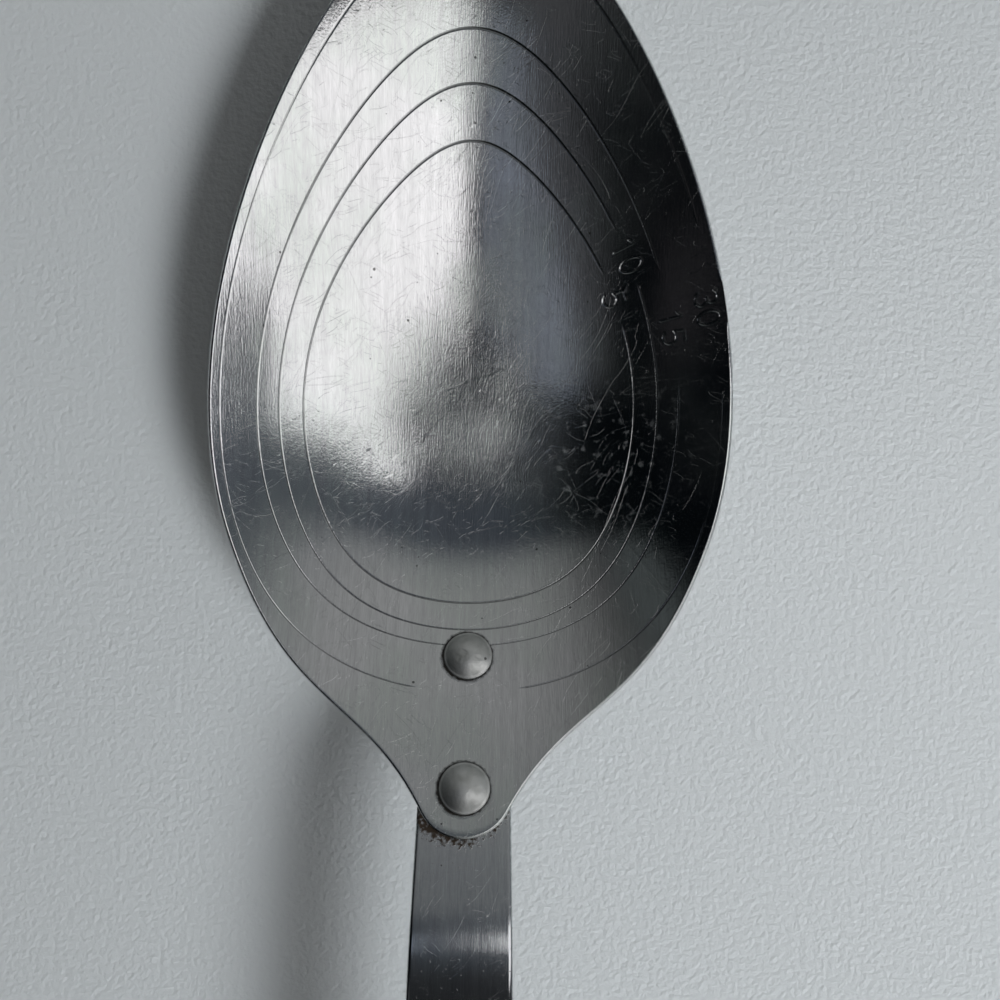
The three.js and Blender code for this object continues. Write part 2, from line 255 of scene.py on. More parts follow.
@dataclass(frozen=True)
class PressedForm:
    """The rule of the pressed sheet: egg-shaped level lines, wall height and cut outline."""

    width: float = 64.0
    tip_reach: float = 62.6
    heel_reach: float = 37.6
    depth: float = 13.0
    sheet: float = 0.7
    tip_start: float = 28.0
    point_at_bottom: float = 0.52
    point_at_rim: float = 0.05
    side_flatten: float = 0.055
    wall_power: float = 2.9
    wall_straight: float = 0.86
    heel_slope: float = math.radians(28.5)
    lobe_radius: float = 5.8
    flare_start: float = math.radians(112.0)
    flare_shoulder: float = 22.0
    flare_neck: float = 14.7
    flare_end: float = math.radians(-28.0)
    bowl_rivet_inside: float = 5.3
    neck_rivet_beyond: float = 9.3

    @property
    def wall_factor(self) -> float:
        """Height of the curved wall's rule at level 1, which the straight upper wall stays under."""
        straight, power = self.wall_straight, self.wall_power
        return self.depth / (straight**power + power * straight ** (power - 1.0) * (1.0 - straight))

    @property
    def wall_rise(self) -> float:
        """Rise of the straight upper wall for one level."""
        return self.wall_factor * self.wall_power * self.wall_straight ** (self.wall_power - 1.0)

    @property
    def heel_level(self) -> float:
        """Level from which the back wall runs straight, where the curved wall is as steep as it."""
        steepness = math.tan(self.heel_slope) * self.heel_reach / (self.wall_factor * self.wall_power)
        return steepness ** (1.0 / (self.wall_power - 1.0))

    @property
    def rivet_reaches(self) -> tuple[float, float]:
        """Distances of the rivets in the bowl and in the tang behind the deepest point."""
        return self.heel_reach - self.bowl_rivet_inside, self.heel_reach + self.neck_rivet_beyond

    @property
    def tang_reach(self) -> float:
        """Distance of the tang's rounded end behind the deepest point."""
        return self.rivet_reaches[1] + self.lobe_radius * math.cos(self.heel_slope)

    def tip(self, level: np.ndarray) -> np.ndarray:
        """Reach of a level line towards the tip."""
        return level * (self.tip_start + (self.tip_reach - self.tip_start) * level)

    def back(self, level: np.ndarray) -> np.ndarray:
        """Reach of a level line towards the handle, where the back wall ends straight."""
        start = np.minimum(level, self.heel_level)
        return self.heel_reach * start + (self.wall(level) - self.wall(start)) / math.tan(self.heel_slope)

    def half_width(self, level: np.ndarray, cosine: np.ndarray) -> np.ndarray:
        """Half width of a level line.

        Args:
            level: the line's level.
            cosine: cosine of the turn from the tip.

        Returns:
            Half widths, 0 at the tip and the heel.
        """
        point = self.point_at_bottom + (self.point_at_rim - self.point_at_bottom) * np.minimum(level, 1.0)
        sine = np.sqrt(np.maximum(0.0, 1.0 - cosine**2))
        return self.width / 2.0 * level * sine * (1.0 - self.side_flatten * cosine**2 - point * cosine**3)

    def egg(self, level: np.ndarray, turn: np.ndarray) -> np.ndarray:
        """Points on egg-shaped lines: the rim is line 1, and the measuring lines lie inside it.

        Args:
            level: level of each point.
            turn: angle of each point, 0 at the tip and half a turn at the heel.

        Returns:
            Plan points.
        """
        tip, heel = self.tip(level), self.heel_reach * level
        mean, lean = (tip + heel) / 2.0, (tip - heel) / 2.0
        cosine = np.cos(turn)
        across = self.half_width(level, cosine) * np.where(np.sin(turn) < 0.0, -1.0, 1.0)
        return np.stack([across, mean * cosine + lean * cosine**2], axis=-1)

    def level_at(self, plan: np.ndarray) -> np.ndarray:
        """Level of the line through each plan point, found by halving.

        Args:
            plan: plan points.

        Returns:
            Levels, 1 on the rim.
        """
        halvings, highest = 44, 4.0
        low = np.zeros(plan.shape[:-1])
        high = np.full(plan.shape[:-1], highest)
        across, along = np.abs(plan[..., 0]), plan[..., 1]
        for _ in range(halvings):
            middle = (low + high) / 2.0
            tip, back = self.tip(middle), self.back(middle)
            mean, lean = (tip + back) / 2.0, (tip - back) / 2.0
            root = mean**2 + 4.0 * lean * along
            cosine = 2.0 * along / (mean + np.sqrt(np.maximum(root, 0.0)))
            inside = (root >= 0.0) & (np.abs(cosine) < 1.0)
            reach = np.where(inside, self.half_width(middle, np.clip(cosine, -1.0, 1.0)), 0.0)
            below = reach <= across
            low = np.where(below, middle, low)
            high = np.where(below, high, middle)
        return high

    def wall(self, level: np.ndarray) -> np.ndarray:
        """Height of the sheet's upper face above the deepest point, at a level."""
        curved = np.minimum(level, self.wall_straight)
        return self.wall_factor * curved**self.wall_power + self.wall_rise * (level - curved)

    def height(self, plan: np.ndarray) -> np.ndarray:
        """Height of the sheet's upper face over plan points."""
        return self.sheet + self.wall(self.level_at(plan))

    def skin(self, plan: np.ndarray) -> tuple[np.ndarray, np.ndarray]:
        """The sheet's upper face over plan points.

        Args:
            plan: plan points.

        Returns:
            Points on the face and its upward normals.
        """
        probe = 0.02
        step_x, step_y = np.array([probe, 0.0]), np.array([0.0, probe])
        rise_x = (self.height(plan + step_x) - self.height(plan - step_x)) / (2.0 * probe)
        rise_y = (self.height(plan + step_y) - self.height(plan - step_y)) / (2.0 * probe)
        points = np.concatenate([plan, self.height(plan)[..., None]], axis=-1)
        return points, unit(np.stack([-rise_x, -rise_y, np.ones_like(rise_x)], axis=-1))

    def tail_outline(self) -> np.ndarray:
        """The right half of the cut outline, from the end of the egg to the tang's end.

        Returns:
            Closely spaced plan points along the flare and the lobe.
        """
        start = self.egg(np.array(1.0), np.array(self.flare_start))
        before = self.egg(np.array(1.0), np.array(self.flare_start - 0.001))
        centre = np.array([0.0, -self.rivet_reaches[1]])
        radii = self.lobe_radius * np.array([1.0, math.cos(self.heel_slope)])
        end = centre + radii * np.array([math.cos(self.flare_end), math.sin(self.flare_end)])
        end_along = unit(radii * np.array([math.sin(self.flare_end), -math.cos(self.flare_end)]))
        shoulder = start + unit(start - before) * self.flare_shoulder
        neck = end - end_along * self.flare_neck
        share = np.linspace(0.0, 1.0, 200)[:, None]
        flare = (
            (1.0 - share) ** 3 * start
            + 3.0 * share * (1.0 - share) ** 2 * shoulder
            + 3.0 * share**2 * (1.0 - share) * neck
            + share**3 * end
        )
        sweep = np.linspace(self.flare_end, -math.pi / 2.0, 80)[1:, None]
        lobe = centre + radii * np.concatenate([np.cos(sweep), np.sin(sweep)], axis=1)
        return np.concatenate([flare, lobe])

    def outline(self, turns: np.ndarray) -> np.ndarray:
        """The cut outline of the sheet at each turn.

        Args:
            turns: angles from the tip, up to a full turn.

        Returns:
            Plan points, shared out along the flare and the lobe by length.
        """
        folded = np.minimum(turns, 2.0 * math.pi - turns)
        side = np.where(turns > math.pi, -1.0, 1.0)
        tail = self.tail_outline()
        run = np.concatenate([[0.0], np.cumsum(np.linalg.norm(np.diff(tail, axis=0), axis=1))])
        share = np.clip((folded - self.flare_start) / (math.pi - self.flare_start), 0.0, 1.0) * run[-1]
        beyond = np.stack([np.interp(share, run, tail[:, 0]), np.interp(share, run, tail[:, 1])], axis=-1)
        rim = self.egg(np.ones_like(folded), folded)
        plan = np.where((folded > self.flare_start)[:, None], beyond, rim)
        return plan * np.stack([side, np.ones_like(side)], axis=-1)

    def heel_station(self, reach: np.ndarray, below: np.ndarray) -> tuple[np.ndarray, np.ndarray]:
        """Points a given depth under the back wall and the tang, on the spoon's middle line.

        Args:
            reach: distances behind the deepest point.
            below: depths under the sheet's upper face.

        Returns:
            Points as Y and Z, and the slopes there.
        """
        start = self.heel_reach * self.heel_level
        curved = np.minimum(reach, start) / self.heel_reach
        rise = self.wall_factor * self.wall_power * curved ** (self.wall_power - 1.0) / self.heel_reach
        height = self.sheet + self.wall(curved) + np.maximum(reach - start, 0.0) * math.tan(self.heel_slope)
        slope = np.arctan(rise)
        return np.stack([-reach - below * np.sin(slope), height - below * np.cos(slope)], axis=-1), slope


@dataclass(frozen=True)
class LevelLine:
    """One engraved measuring line with the numeral that stands in its gap.

    The gap runs between two places along the spoon, on the right. The line stops at the heel within
    its stop half width, and its strength is how deep it is cut away from the heel.
    """

    level: float
    numeral: str
    gap: tuple[float, float]
    stop_half_width: float = 0.0
    strength: float = 1.0


class Digit(Enum):
    """Strokes of the numerals in a cell 0.6 wide and 1 high.

    A stroke is a chain of corners, or an arc as centre, radii, first and last angle in degrees.
    """

    ZERO = ("0", ((0.3, 0.5, 0.27, 0.5, 0.0, 360.0),))
    ONE = ("1", (((0.12, 0.8), (0.32, 1.0), (0.32, 0.0)),))
    THREE = ("3", ((0.28, 0.76, 0.24, 0.24, 155.0, -90.0), (0.28, 0.26, 0.28, 0.26, 90.0, -155.0)))
    FIVE = ("5", (((0.53, 1.0), (0.13, 1.0), (0.08, 0.54)), (0.27, 0.31, 0.28, 0.31, 130.0, -150.0)))

    def segments(self) -> np.ndarray:
        """Cuts the strokes into straight pieces.

        Returns:
            The pieces, each of two points.
        """
        pieces = []
        for stroke in self.value[1]:
            if isinstance(stroke[0], tuple):
                chain = np.array(stroke)
            else:
                sweep = np.radians(np.linspace(stroke[4], stroke[5], 22))
                chain = np.stack(
                    [stroke[0] + stroke[2] * np.cos(sweep), stroke[1] + stroke[3] * np.sin(sweep)], axis=1
                )
            pieces.append(np.stack([chain[:-1], chain[1:]], axis=1))
        return np.concatenate(pieces)


@dataclass(frozen=True)
class ScratchSet:
    """Fine scratches that run one way: their turn from the length, and their spacing and length in mm."""

    turn: float
    spacing: float
    length: float
    share: float


@dataclass(frozen=True)
class Soiled:
    """A round soiled place: its middle as a plan point in mm, its radius and the width of its fringe."""

    middle: Point
    radius: float
    fringe: float

    def mask(self, graph: Surface) -> Socket:
        """How soiled the metal is.

        Args:
            graph: the material's nodes.

        Returns:
            1 within the radius, falling to 0 across the fringe.
        """
        ends = {0: graph.place, 1: placed(np.array(self.middle))}
        away = graph.add("ShaderNodeVectorMath", ends, "Value", operation="DISTANCE")
        fade = {1: (self.radius + self.fringe) * MM, 2: self.radius * MM}
        return graph.add("ShaderNodeMapRange", {0: away, **fade})


@dataclass(frozen=True)
class BrushedSteel:
    """Stainless steel, belt-ground along the spoon and dulled by years of washing.

    It gives the eye a metal grey that smears lights across the grain, hair scratches, pits and stains, with
    painted shade in the engraved lines and grime with painted shade at the joints.
    Widths, lengths and depths are millimetres.
    """

    name: str
    tint: str = "#C6C8C9"
    shade: str = "#AEB0B1"
    cool: str = "#BCC3BF"
    # Near-black brown at the joints round the rivets: grime and painted shade.
    joint_grime_and_shade: str = "#17130E"
    chalk: str = "#C9CBC8"
    # Dark tone for the pits, and for the painted shade in the engraved grooves.
    pit_and_groove_shade_tone: str = "#2F2E2C"
    groove_painted_shade: float = 0.6
    roughness: float = 0.15
    anisotropy: float = 0.75
    stain_width: float = 14.0
    grain_width: float = 0.17
    grain_length: float = 1.8
    grain_depth: float = 0.012
    band_width: float = 0.8
    band_length: float = 18.0
    band_depth: float = 0.005
    grit_width: float = 0.3
    grit_depth: float = 0.006
    scuffing: float = 1.0
    scratches: float = 1.0
    scratch_depth: float = 0.008
    scratch_sway: float = 2.5
    sway_length: float = 16.0
    pit_depth: float = 0.02
    dirt_height: float = 0.02
    crumble: float = 0.7
    crumb_width: float = 0.45
    drop_width: float = 1.1
    # Round patches at the joints, darkened by grime and painted shade.
    grimy_shaded_joints: tuple[Soiled, ...] = ()
    water_marks: tuple[Soiled, ...] = ()
    scratch_sets: tuple[ScratchSet, ...] = (
        ScratchSet(math.radians(-38.0), 1.3, 9.0, 0.55),
        ScratchSet(math.radians(-22.0), 1.5, 13.0, 0.56),
        ScratchSet(math.radians(31.0), 1.7, 11.0, 0.58),
        ScratchSet(math.radians(-74.0), 1.6, 8.0, 0.58),
        ScratchSet(math.radians(-55.0), 0.8, 3.0, 0.54),
        ScratchSet(math.radians(62.0), 0.7, 2.5, 0.55),
    )

    def material(self) -> Material:
        """Builds the material.

        Returns:
            The material, which reads the attribute groove, whose value paints shade into the engraved
            lines, and the UV map plan.
        """
        graph = Surface(self.name)
        grain = self.streaks(graph, self.grain_width, self.grain_length, 2.0)
        band = self.streaks(graph, self.band_width, self.band_length, 3.0)
        blots = {"Vector": graph.place, "Scale": scale_of(self.stain_width), "Detail": 4.0}
        stain = graph.add("ShaderNodeTexNoise", blots)
        hair, pit = self.hair_scratches(graph), self.pits(graph)
        grime_and_shade_share, spot = self.joint_grime_and_shade_mask(graph), self.spot_mask(graph)

        # The groove attribute darkens the engraved lines and numerals: painted shade in their recesses.
        # Pits take the same dark tone.
        groove = graph.add("ShaderNodeAttribute", output="Fac", attribute_name="groove")
        cut = graph.add("ShaderNodeMath", {0: groove, 1: self.groove_painted_shade}, operation="MULTIPLY")
        wear_and_shade = graph.add("ShaderNodeMath", {0: cut, 1: pit}, operation="MAXIMUM")
        patch = graph.add("ShaderNodeMapRange", {0: stain, 1: 0.42, 2: 0.58})
        streak = graph.add("ShaderNodeMath", {0: grain, 1: band}, operation="ADD")
        tone = graph.add("ShaderNodeMapRange", {0: streak, 1: 0.6, 2: 1.4})
        greys = {6: linear(self.tint), 7: linear(self.cool)}
        colour = graph.add("ShaderNodeMix", {0: patch, **greys}, **COLOUR_MIX)
        colour = graph.add("ShaderNodeMix", {0: tone, 6: linear(self.shade), 7: colour}, **COLOUR_MIX)
        # Chalk from water marks, the dark tone of pits and of the painted shade in the grooves, and grime
        # with painted shade at the joints.
        for mask, over in ((spot, self.chalk), (wear_and_shade, self.pit_and_groove_shade_tone), (grime_and_shade_share, self.joint_grime_and_shade)):
            colour = graph.add("ShaderNodeMix", {0: mask, 6: colour, 7: linear(over)}, **COLOUR_MIX)

        spread = {3: self.roughness - 0.05, 4: self.roughness + 0.06}
        rough = graph.add("ShaderNodeMapRange", {0: stain, 1: 0.3, 2: 0.7, **spread})
        metal: object = 1.0
        for mask, dulled, covered in ((grime_and_shade_share, 0.3, -0.85), (spot, 0.22, -0.35)):
            rough = graph.add("ShaderNodeMath", {0: mask, 1: dulled, 2: rough}, operation="MULTIPLY_ADD")
            metal = graph.add("ShaderNodeMath", {0: mask, 1: covered, 2: metal}, operation="MULTIPLY_ADD")

        grit = graph.add("ShaderNodeTexNoise", {"Vector": graph.place, "Scale": scale_of(self.grit_width)})
        relief: object = 0.0
        for mask, height in (
            (band, self.band_depth),
            (grain, self.grain_depth * self.scuffing),
            (grit, self.grit_depth * self.scuffing),
            (hair, -self.scratch_depth * self.scuffing),
            (pit, -self.pit_depth),
            (grime_and_shade_share, self.dirt_height),
        ):
            raised = {0: mask, 1: height * MM, 2: relief}
            relief = graph.add("ShaderNodeMath", raised, operation="MULTIPLY_ADD")
        inputs = {
            "Base Color": colour,
            "Metallic": metal,
            "Roughness": rough,
            "Anisotropic": self.anisotropy,
            "Tangent": graph.add("ShaderNodeTangent", direction_type="UV_MAP", uv_map="plan"),
        }
        return graph.close(relief, inputs)

    @staticmethod
    def streaks(graph: Surface, width: float, length: float, detail: float) -> Socket:
        """Grain that runs along the spoon.

        Args:
            graph: the material's nodes.
            width: width of a streak in millimetres. The belt's own lines, near 0.02, are too fine to show.
            length: length of a streak in millimetres.
            detail: octaves of the noise.

        Returns:
            Values round 0.5.
        """
        scale = (scale_of(width), scale_of(length), 0.0)
        mapped = graph.add("ShaderNodeMapping", {"Vector": graph.place, "Scale": scale})
        return graph.add("ShaderNodeTexNoise", {"Vector": mapped, "Scale": 1.0, "Detail": detail})

    def hair_scratches(self, graph: Surface) -> Socket:
        """Fine scratches in several directions, in patches.

        Args:
            graph: the material's nodes.

        Returns:
            1 on a scratch, 0 beside it.
        """
        swirl = {"Vector": graph.place, "Scale": scale_of(self.sway_length), "Detail": 1.0}
        drift = graph.add("ShaderNodeTexNoise", swirl, "Color")
        sway = {1: (self.scratch_sway * MM, self.scratch_sway * MM, 0.0), 2: graph.place}
        bent = graph.add("ShaderNodeVectorMath", {0: drift, **sway}, operation="MULTIPLY_ADD")
        total: object = 0.0
        for lines in self.scratch_sets:
            size = (lines.spacing * MM, lines.length * MM, 1.0)
            run = {"Vector": bent, "Rotation": (0.0, 0.0, lines.turn), "Scale": size}
            mapped = graph.add("ShaderNodeMapping", run, vector_type="TEXTURE")
            wave = graph.add("ShaderNodeTexNoise", {"Vector": mapped, "Scale": 1.0, "Detail": 0.0})
            crest = graph.add("ShaderNodeMath", {0: wave, 1: 0.5, 2: 0.02}, operation="COMPARE")
            patch = graph.add("ShaderNodeTexNoise", {"Vector": mapped, "Scale": 0.55, "Detail": 1.0})
            held = graph.add("ShaderNodeMapRange", {0: patch, 1: lines.share, 2: lines.share + 0.1})
            line = graph.add("ShaderNodeMath", {0: crest, 1: held}, operation="MULTIPLY")
            total = graph.add("ShaderNodeMath", {0: total, 1: line}, operation="MAXIMUM")
        return graph.add("ShaderNodeMath", {0: total, 1: self.scratches}, operation="MULTIPLY")

    @staticmethod
    def pits(graph: Surface) -> Socket:
        """Small dark pits up to 0.4 mm wide, a few in each square centimetre.

        Args:
            graph: the material's nodes.

        Returns:
            0.75 in a pit, 0 beside it.
        """
        spacing, rare, strength = 2.2, 0.6, 0.75
        cell = {"Vector": graph.place, "Scale": scale_of(spacing)}
        cells = graph.add("ShaderNodeTexVoronoi", cell).node.outputs
        chance = graph.add("ShaderNodeSeparateColor", {"Color": cells["Color"]})
        size = graph.add("ShaderNodeMapRange", {0: chance, 1: rare, 2: 1.0, 3: 0.02, 4: 0.09})
        inside = graph.add("ShaderNodeMath", {0: cells["Distance"], 1: size}, operation="LESS_THAN")
        marked = graph.add("ShaderNodeMath", {0: chance, 1: rare}, operation="GREATER_THAN")
        inside = graph.add("ShaderNodeMath", {0: inside, 1: marked}, operation="MULTIPLY")
        return graph.add("ShaderNodeMath", {0: inside, 1: strength}, operation="MULTIPLY")

    @staticmethod
    def soiling(graph: Surface, spots: tuple[Soiled, ...]) -> object:
        """The strongest of several soiled places.

        Args:
            graph: the material's nodes.
            spots: the soiled places.

        Returns:
            Up to 1 on a soiled place, 0 beside it.
        """
        total: object = 0.0
        for spot in spots:
            total = graph.add("ShaderNodeMath", {0: total, 1: spot.mask(graph)}, operation="MAXIMUM")
        return total

    def joint_grime_and_shade_mask(self, graph: Surface) -> Socket:
        """Where the joints round the rivets and the tang's lobe darken, with grime and painted shade,
        broken up into crumbs of about half a millimetre.

        Args:
            graph: the material's nodes.

        Returns:
            1 on the grime and painted shade, 0 on clean metal.
        """
        grimy_shaded_joints = self.soiling(graph, self.grimy_shaded_joints)
        crumb = {"Vector": graph.place, "Scale": scale_of(self.crumb_width), "Detail": 4.0}
        crumbs = graph.add("ShaderNodeTexNoise", crumb)
        held = graph.add("ShaderNodeMath", {0: crumbs, 1: self.crumble, 2: grimy_shaded_joints}, operation="MULTIPLY_ADD")
        ends = {1: 0.5 * self.crumble + 0.45, 2: 0.5 * self.crumble + 0.9}
        return graph.add("ShaderNodeMapRange", {0: held, **ends})

    def spot_mask(self, graph: Surface) -> Socket:
        """Chalky marks up to 1 mm wide that drops of hard water left.

        Args:
            graph: the material's nodes.

        Returns:
            Up to 0.5 on a mark, 0 beside it.
        """
        wet = self.soiling(graph, self.water_marks)
        drop = {"Vector": graph.place, "Scale": scale_of(self.drop_width), "Detail": 3.0}
        drops = graph.add("ShaderNodeTexNoise", drop)
        dried = graph.add("ShaderNodeMapRange", {0: drops, 1: 0.6, 2: 0.68, 4: 0.5})
        return graph.add("ShaderNodeMath", {0: dried, 1: wet}, operation="MULTIPLY")


def finished(name: str, mesh: bpy.types.Mesh, material: Material, slot: str, *nodes: str) -> None:
    """Makes a piece of a finished mesh and ties it to the model.

    Args:
        name: name of the piece.
        mesh: its mesh in the frame, in metres.
        material: its material.
        slot: the record's material slot, which is not used.
        nodes: the nodes that it stands for.
    """
    piece = linked(name, mesh)
    mesh.materials.clear()
    mesh.materials.append(material)
    mesh.shade_smooth()
    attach(piece, "root")
    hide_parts(*nodes)
    LOG.info("%s: %d faces", name, len(mesh.polygons))


@dataclass
class Bowl:
    """The pressed bowl with its tang, its engraved level lines and numerals."""

    form: PressedForm
    finish: BrushedSteel
    lines: tuple[LevelLine, ...] = (
        LevelLine(0.677, "5", (10.5, 18.0)),
        LevelLine(0.764, "10", (15.5, 23.5)),
        LevelLine(0.839, "15", (2.0, 18.0)),
        LevelLine(0.97, "30", (1.0, 23.0), stop_half_width=6.7, strength=0.55),
    )
    columns: int = 336
    levels: int = 40
    first_level: float = 0.024
    last_level: float = 0.986
    line_clear: float = 0.0115
    tang_rows: int = 20
    line_half_width: float = 0.15
    line_places: tuple[float, ...] = (-1.6, -1.0, -0.7, -0.45, -0.2, 0.2, 0.45, 0.7, 1.0, 1.6)
    line_sorting: float = 0.005
    line_depth: float = 0.06
    line_drift: float = -0.4
    rim_round: float = 0.24
    numeral_height: float = 3.1
    numeral_depth: float = 0.11
    numeral_pitch: float = 0.78
    # Share of the dark groove tone that paints shade into the numerals' strokes.
    numeral_painted_shade: float = 0.3
    rim_margin: float = 0.4
    stroke_half_width: float = 0.17
    numeral_cuts: int = 9
    line_fade: float = 0.8
    skin_tolerance: float = 0.3
    chart_span: float = 200.0

    def line_presence(self, line: LevelLine, plan: np.ndarray) -> np.ndarray:
        """How deep a line is cut along its run.

        Args:
            line: the level line.
            plan: points along it.

        Returns:
            1 where it is cut in full, less where wear has thinned it on the left, 0 in the numeral's gap
            and where the line stops at the tang.
        """
        across, along = plan[:, 0], plan[:, 1]
        inward = np.minimum(along - line.gap[0], line.gap[1] - along)
        cut = 1.0 - np.clip(inward / self.line_fade + 1.0, 0.0, 1.0) * (across > 0.0)
        stop = np.clip((np.abs(across) - line.stop_half_width) / self.line_fade, 0.0, 1.0)
        wear_and_shade = np.interp(along, [-26.0, -10.0], [1.0, line.strength])
        wear_and_shade = wear_and_shade * np.interp(across, [-26.0, -14.0], [0.6, 1.0])
        return wear_and_shade * cut * np.where((along < 0.0) & (line.stop_half_width > 0.0), stop, 1.0)

    def drifted(self, level: np.ndarray, turn: np.ndarray) -> np.ndarray:
        """Points of the stamped lines, which sit a little off their levels to the left and at the heel.

        Args:
            level: level of each point.
            turn: angle of each point from the tip.

        Returns:
            Plan points.
        """
        aside = self.line_drift * np.interp(level, [0.45, 0.62, 0.88, 0.96], [0.0, 1.0, 1.0, 0.0])
        along = np.interp(level, [0.45, 0.677, 0.764, 0.839, 0.9, 0.95], [0.0, -0.44, -0.44, 0.5, 0.3, 0.0])
        along = along * np.maximum(0.0, -np.cos(turn)) ** 2
        return self.form.egg(level, turn) + np.stack([aside, along], axis=-1)

    def line_rows(self, line: LevelLine, turns: np.ndarray) -> list[tuple[float, np.ndarray, np.ndarray]]:
        """Rows of points across one engraved line.

        Args:
            line: the level line.
            turns: angles of the columns.

        Returns:
            For each row a sorting level, its plan points and how deep each is cut.
        """
        form, probe = self.form, 0.02
        middle = self.drifted(np.full_like(turns, line.level), turns)
        slope_x = form.level_at(middle + [probe, 0.0]) - form.level_at(middle - [probe, 0.0])
        slope_y = form.level_at(middle + [0.0, probe]) - form.level_at(middle - [0.0, probe])
        per_mm = np.hypot(slope_x, slope_y) / (2.0 * probe)
        _, normals = form.skin(middle)
        presence = self.line_presence(line, middle)
        rows = []
        for place in self.line_places:
            shift = place * self.line_half_width * per_mm * normals[:, 2]
            plan = self.drifted(line.level + shift, turns)
            depth = self.line_depth * max(0.0, 1.0 - place**2) ** 1.5 * presence
            rows.append((line.level + place * self.line_sorting, plan, depth))
        return rows

    def upper_rows(self, turns: np.ndarray) -> list[tuple[np.ndarray, np.ndarray, bool]]:
        """Rows of the inside, from the bottom to the tang's end, short of the rim's rounding.

        Args:
            turns: angles of the columns.

        Returns:
            For each row its plan points, its cut depths and whether the outside has it too.
        """
        plain = np.zeros_like(turns)
        cut = [row for line in self.lines for row in self.line_rows(line, turns)]
        taken = [line.level for line in self.lines]
        rows = [(*row, False) for row in cut]
        for level in np.linspace(self.first_level, self.last_level, self.levels):
            if min(abs(level - other) for other in taken) > self.line_clear:
                rows.append((level, self.drifted(np.full_like(turns, level), turns), plain, True))
        rows.sort(key=lambda row: row[0])
        start = self.form.egg(np.full_like(turns, self.last_level), turns)
        edge, _, outward = self.rim_frame(turns)
        end = (edge - self.rim_round * outward)[:, :2]
        for step in range(1, self.tang_rows + 1):
            share = step / self.tang_rows
            rows.append((1.0 + share, start + (end - start) * share, plain, step % 2 == 0))
        return [row[1:] for row in rows]

    def rim_frame(self, turns: np.ndarray) -> tuple[np.ndarray, np.ndarray, np.ndarray]:
        """The sheet's upper edge with its normals and its outward directions.

        Args:
            turns: angles of the columns.

        Returns:
            Points, upward normals and directions out of the sheet's cut edge.
        """
        edge, normals = self.form.skin(self.form.outline(turns))
        along = unit(np.roll(edge, -1, axis=0) - np.roll(edge, 1, axis=0))
        return edge, normals, unit(np.cross(normals, along))

    def shell(self) -> tuple[list[np.ndarray], np.ndarray]:
        """The closed skin of the sheet as rows of points.

        Returns:
            The rows from the inside's bottom over the rim to the outside's bottom, and the cut depth
            of each point as a share of a line's full depth.
        """
        turns = 2.0 * math.pi * np.arange(self.columns) / self.columns
        upper, lower, sunk = [], [], []
        for plan, depth, both in self.upper_rows(turns):
            points, normals = self.form.skin(plan)
            upper.append(points - normals * depth[:, None])
            sunk.append(depth / self.line_depth)
            if both:
                lower.append(points - normals * self.form.sheet)
        edge, normals, outward = self.rim_frame(turns)
        rim = []
        corner = edge - self.rim_round * outward
        for drop, first in ((self.rim_round, 0.0), (self.form.sheet - self.rim_round, math.pi / 2.0)):
            for step in range(5):
                angle = first + math.pi / 8.0 * step
                arm = math.cos(angle) * normals + math.sin(angle) * outward
                rim.append(corner - drop * normals + self.rim_round * arm)
        rows = upper + rim[1:-1] + lower[::-1]
        depths = np.zeros((len(rows), self.columns))
        depths[: len(sunk)] = sunk
        return rows, depths

    def build(self) -> None:
        """Builds the bowl and ties it to the node bowl."""
        rows, depths = self.shell()
        work = bmesh.new()
        # The groove layer keeps how deep each point is cut; the material paints shade into the lines from
        # it.
        groove = work.verts.layers.float.new("groove")
        grid = []
        for row, depth in zip(rows, depths):
            verts = [work.verts.new(point) for point in placed(row)]
            for vert, value in zip(verts, depth):
                vert[groove] = value
            grid.append(verts)
        for low, high in zip(grid, grid[1:]):
            for i in range(self.columns):
                j = (i + 1) % self.columns
                work.faces.new((low[i], high[i], high[j], low[j]))
        bottom = work.verts.new(placed(np.array([0.0, 0.0, self.form.sheet])))
        under = work.verts.new(placed(np.zeros(3)))
        for i in range(self.columns):
            j = (i + 1) % self.columns
            work.faces.new((bottom, grid[0][i], grid[0][j]))
            work.faces.new((under, grid[-1][j], grid[-1][i]))
        for line in self.lines:
            self.engrave(work, groove, line)
        mesh = sealed(work, bpy.data.meshes.new("bowl_sheet"))
        chart_plan(mesh, self.chart_span, (0.5, 0.5 - BOWL_Y / self.chart_span))
        finished("bowl_sheet", mesh, self.finish.material(), "bowl", "bowl")

    def engrave(self, work: bmesh.types.BMesh, groove: bmesh.types.BMLayerItem, line: LevelLine) -> None:
        """Cuts a line's numeral into its gap, with its top to the rim, and paints shade into its strokes
        through the groove layer.

        Args:
            work: the bowl's mesh.
            groove: the layer that keeps how deep a point is cut.
            line: the level line.
        """
        middle = (line.gap[0] + line.gap[1]) / 2.0
        turns = np.linspace(0.2, 2.2, 4000)
        run = self.drifted(np.full_like(turns, line.level), turns)
        at = int(np.argmin(np.abs(run[:, 1] - middle)))
        origin = run[at]
        reading = unit(run[at + 5] - run[at - 5])
        upward = np.array([-reading[1], reading[0]])
        _, normal = self.form.skin(origin[None])
        lean = normal[0, 2]
        pitch = self.numeral_pitch
        digits = [next(digit for digit in Digit if digit.value[0] == sign) for sign in line.numeral]
        strokes = np.concatenate([d.segments() + [pitch * i, 0.0] for i, d in enumerate(digits)])
        strokes = (strokes - [(pitch * (len(digits) - 1) + 0.6) / 2.0, 0.5]) * self.numeral_height
        room = (1.0 - line.level) * self.form.width / 2.0 - self.rim_margin
        strokes[..., 1] -= max(0.0, self.numeral_height / 2.0 - room)
        margin, seam = 0.5, 0.9
        reach = np.abs(strokes).max(axis=(0, 1)) + margin

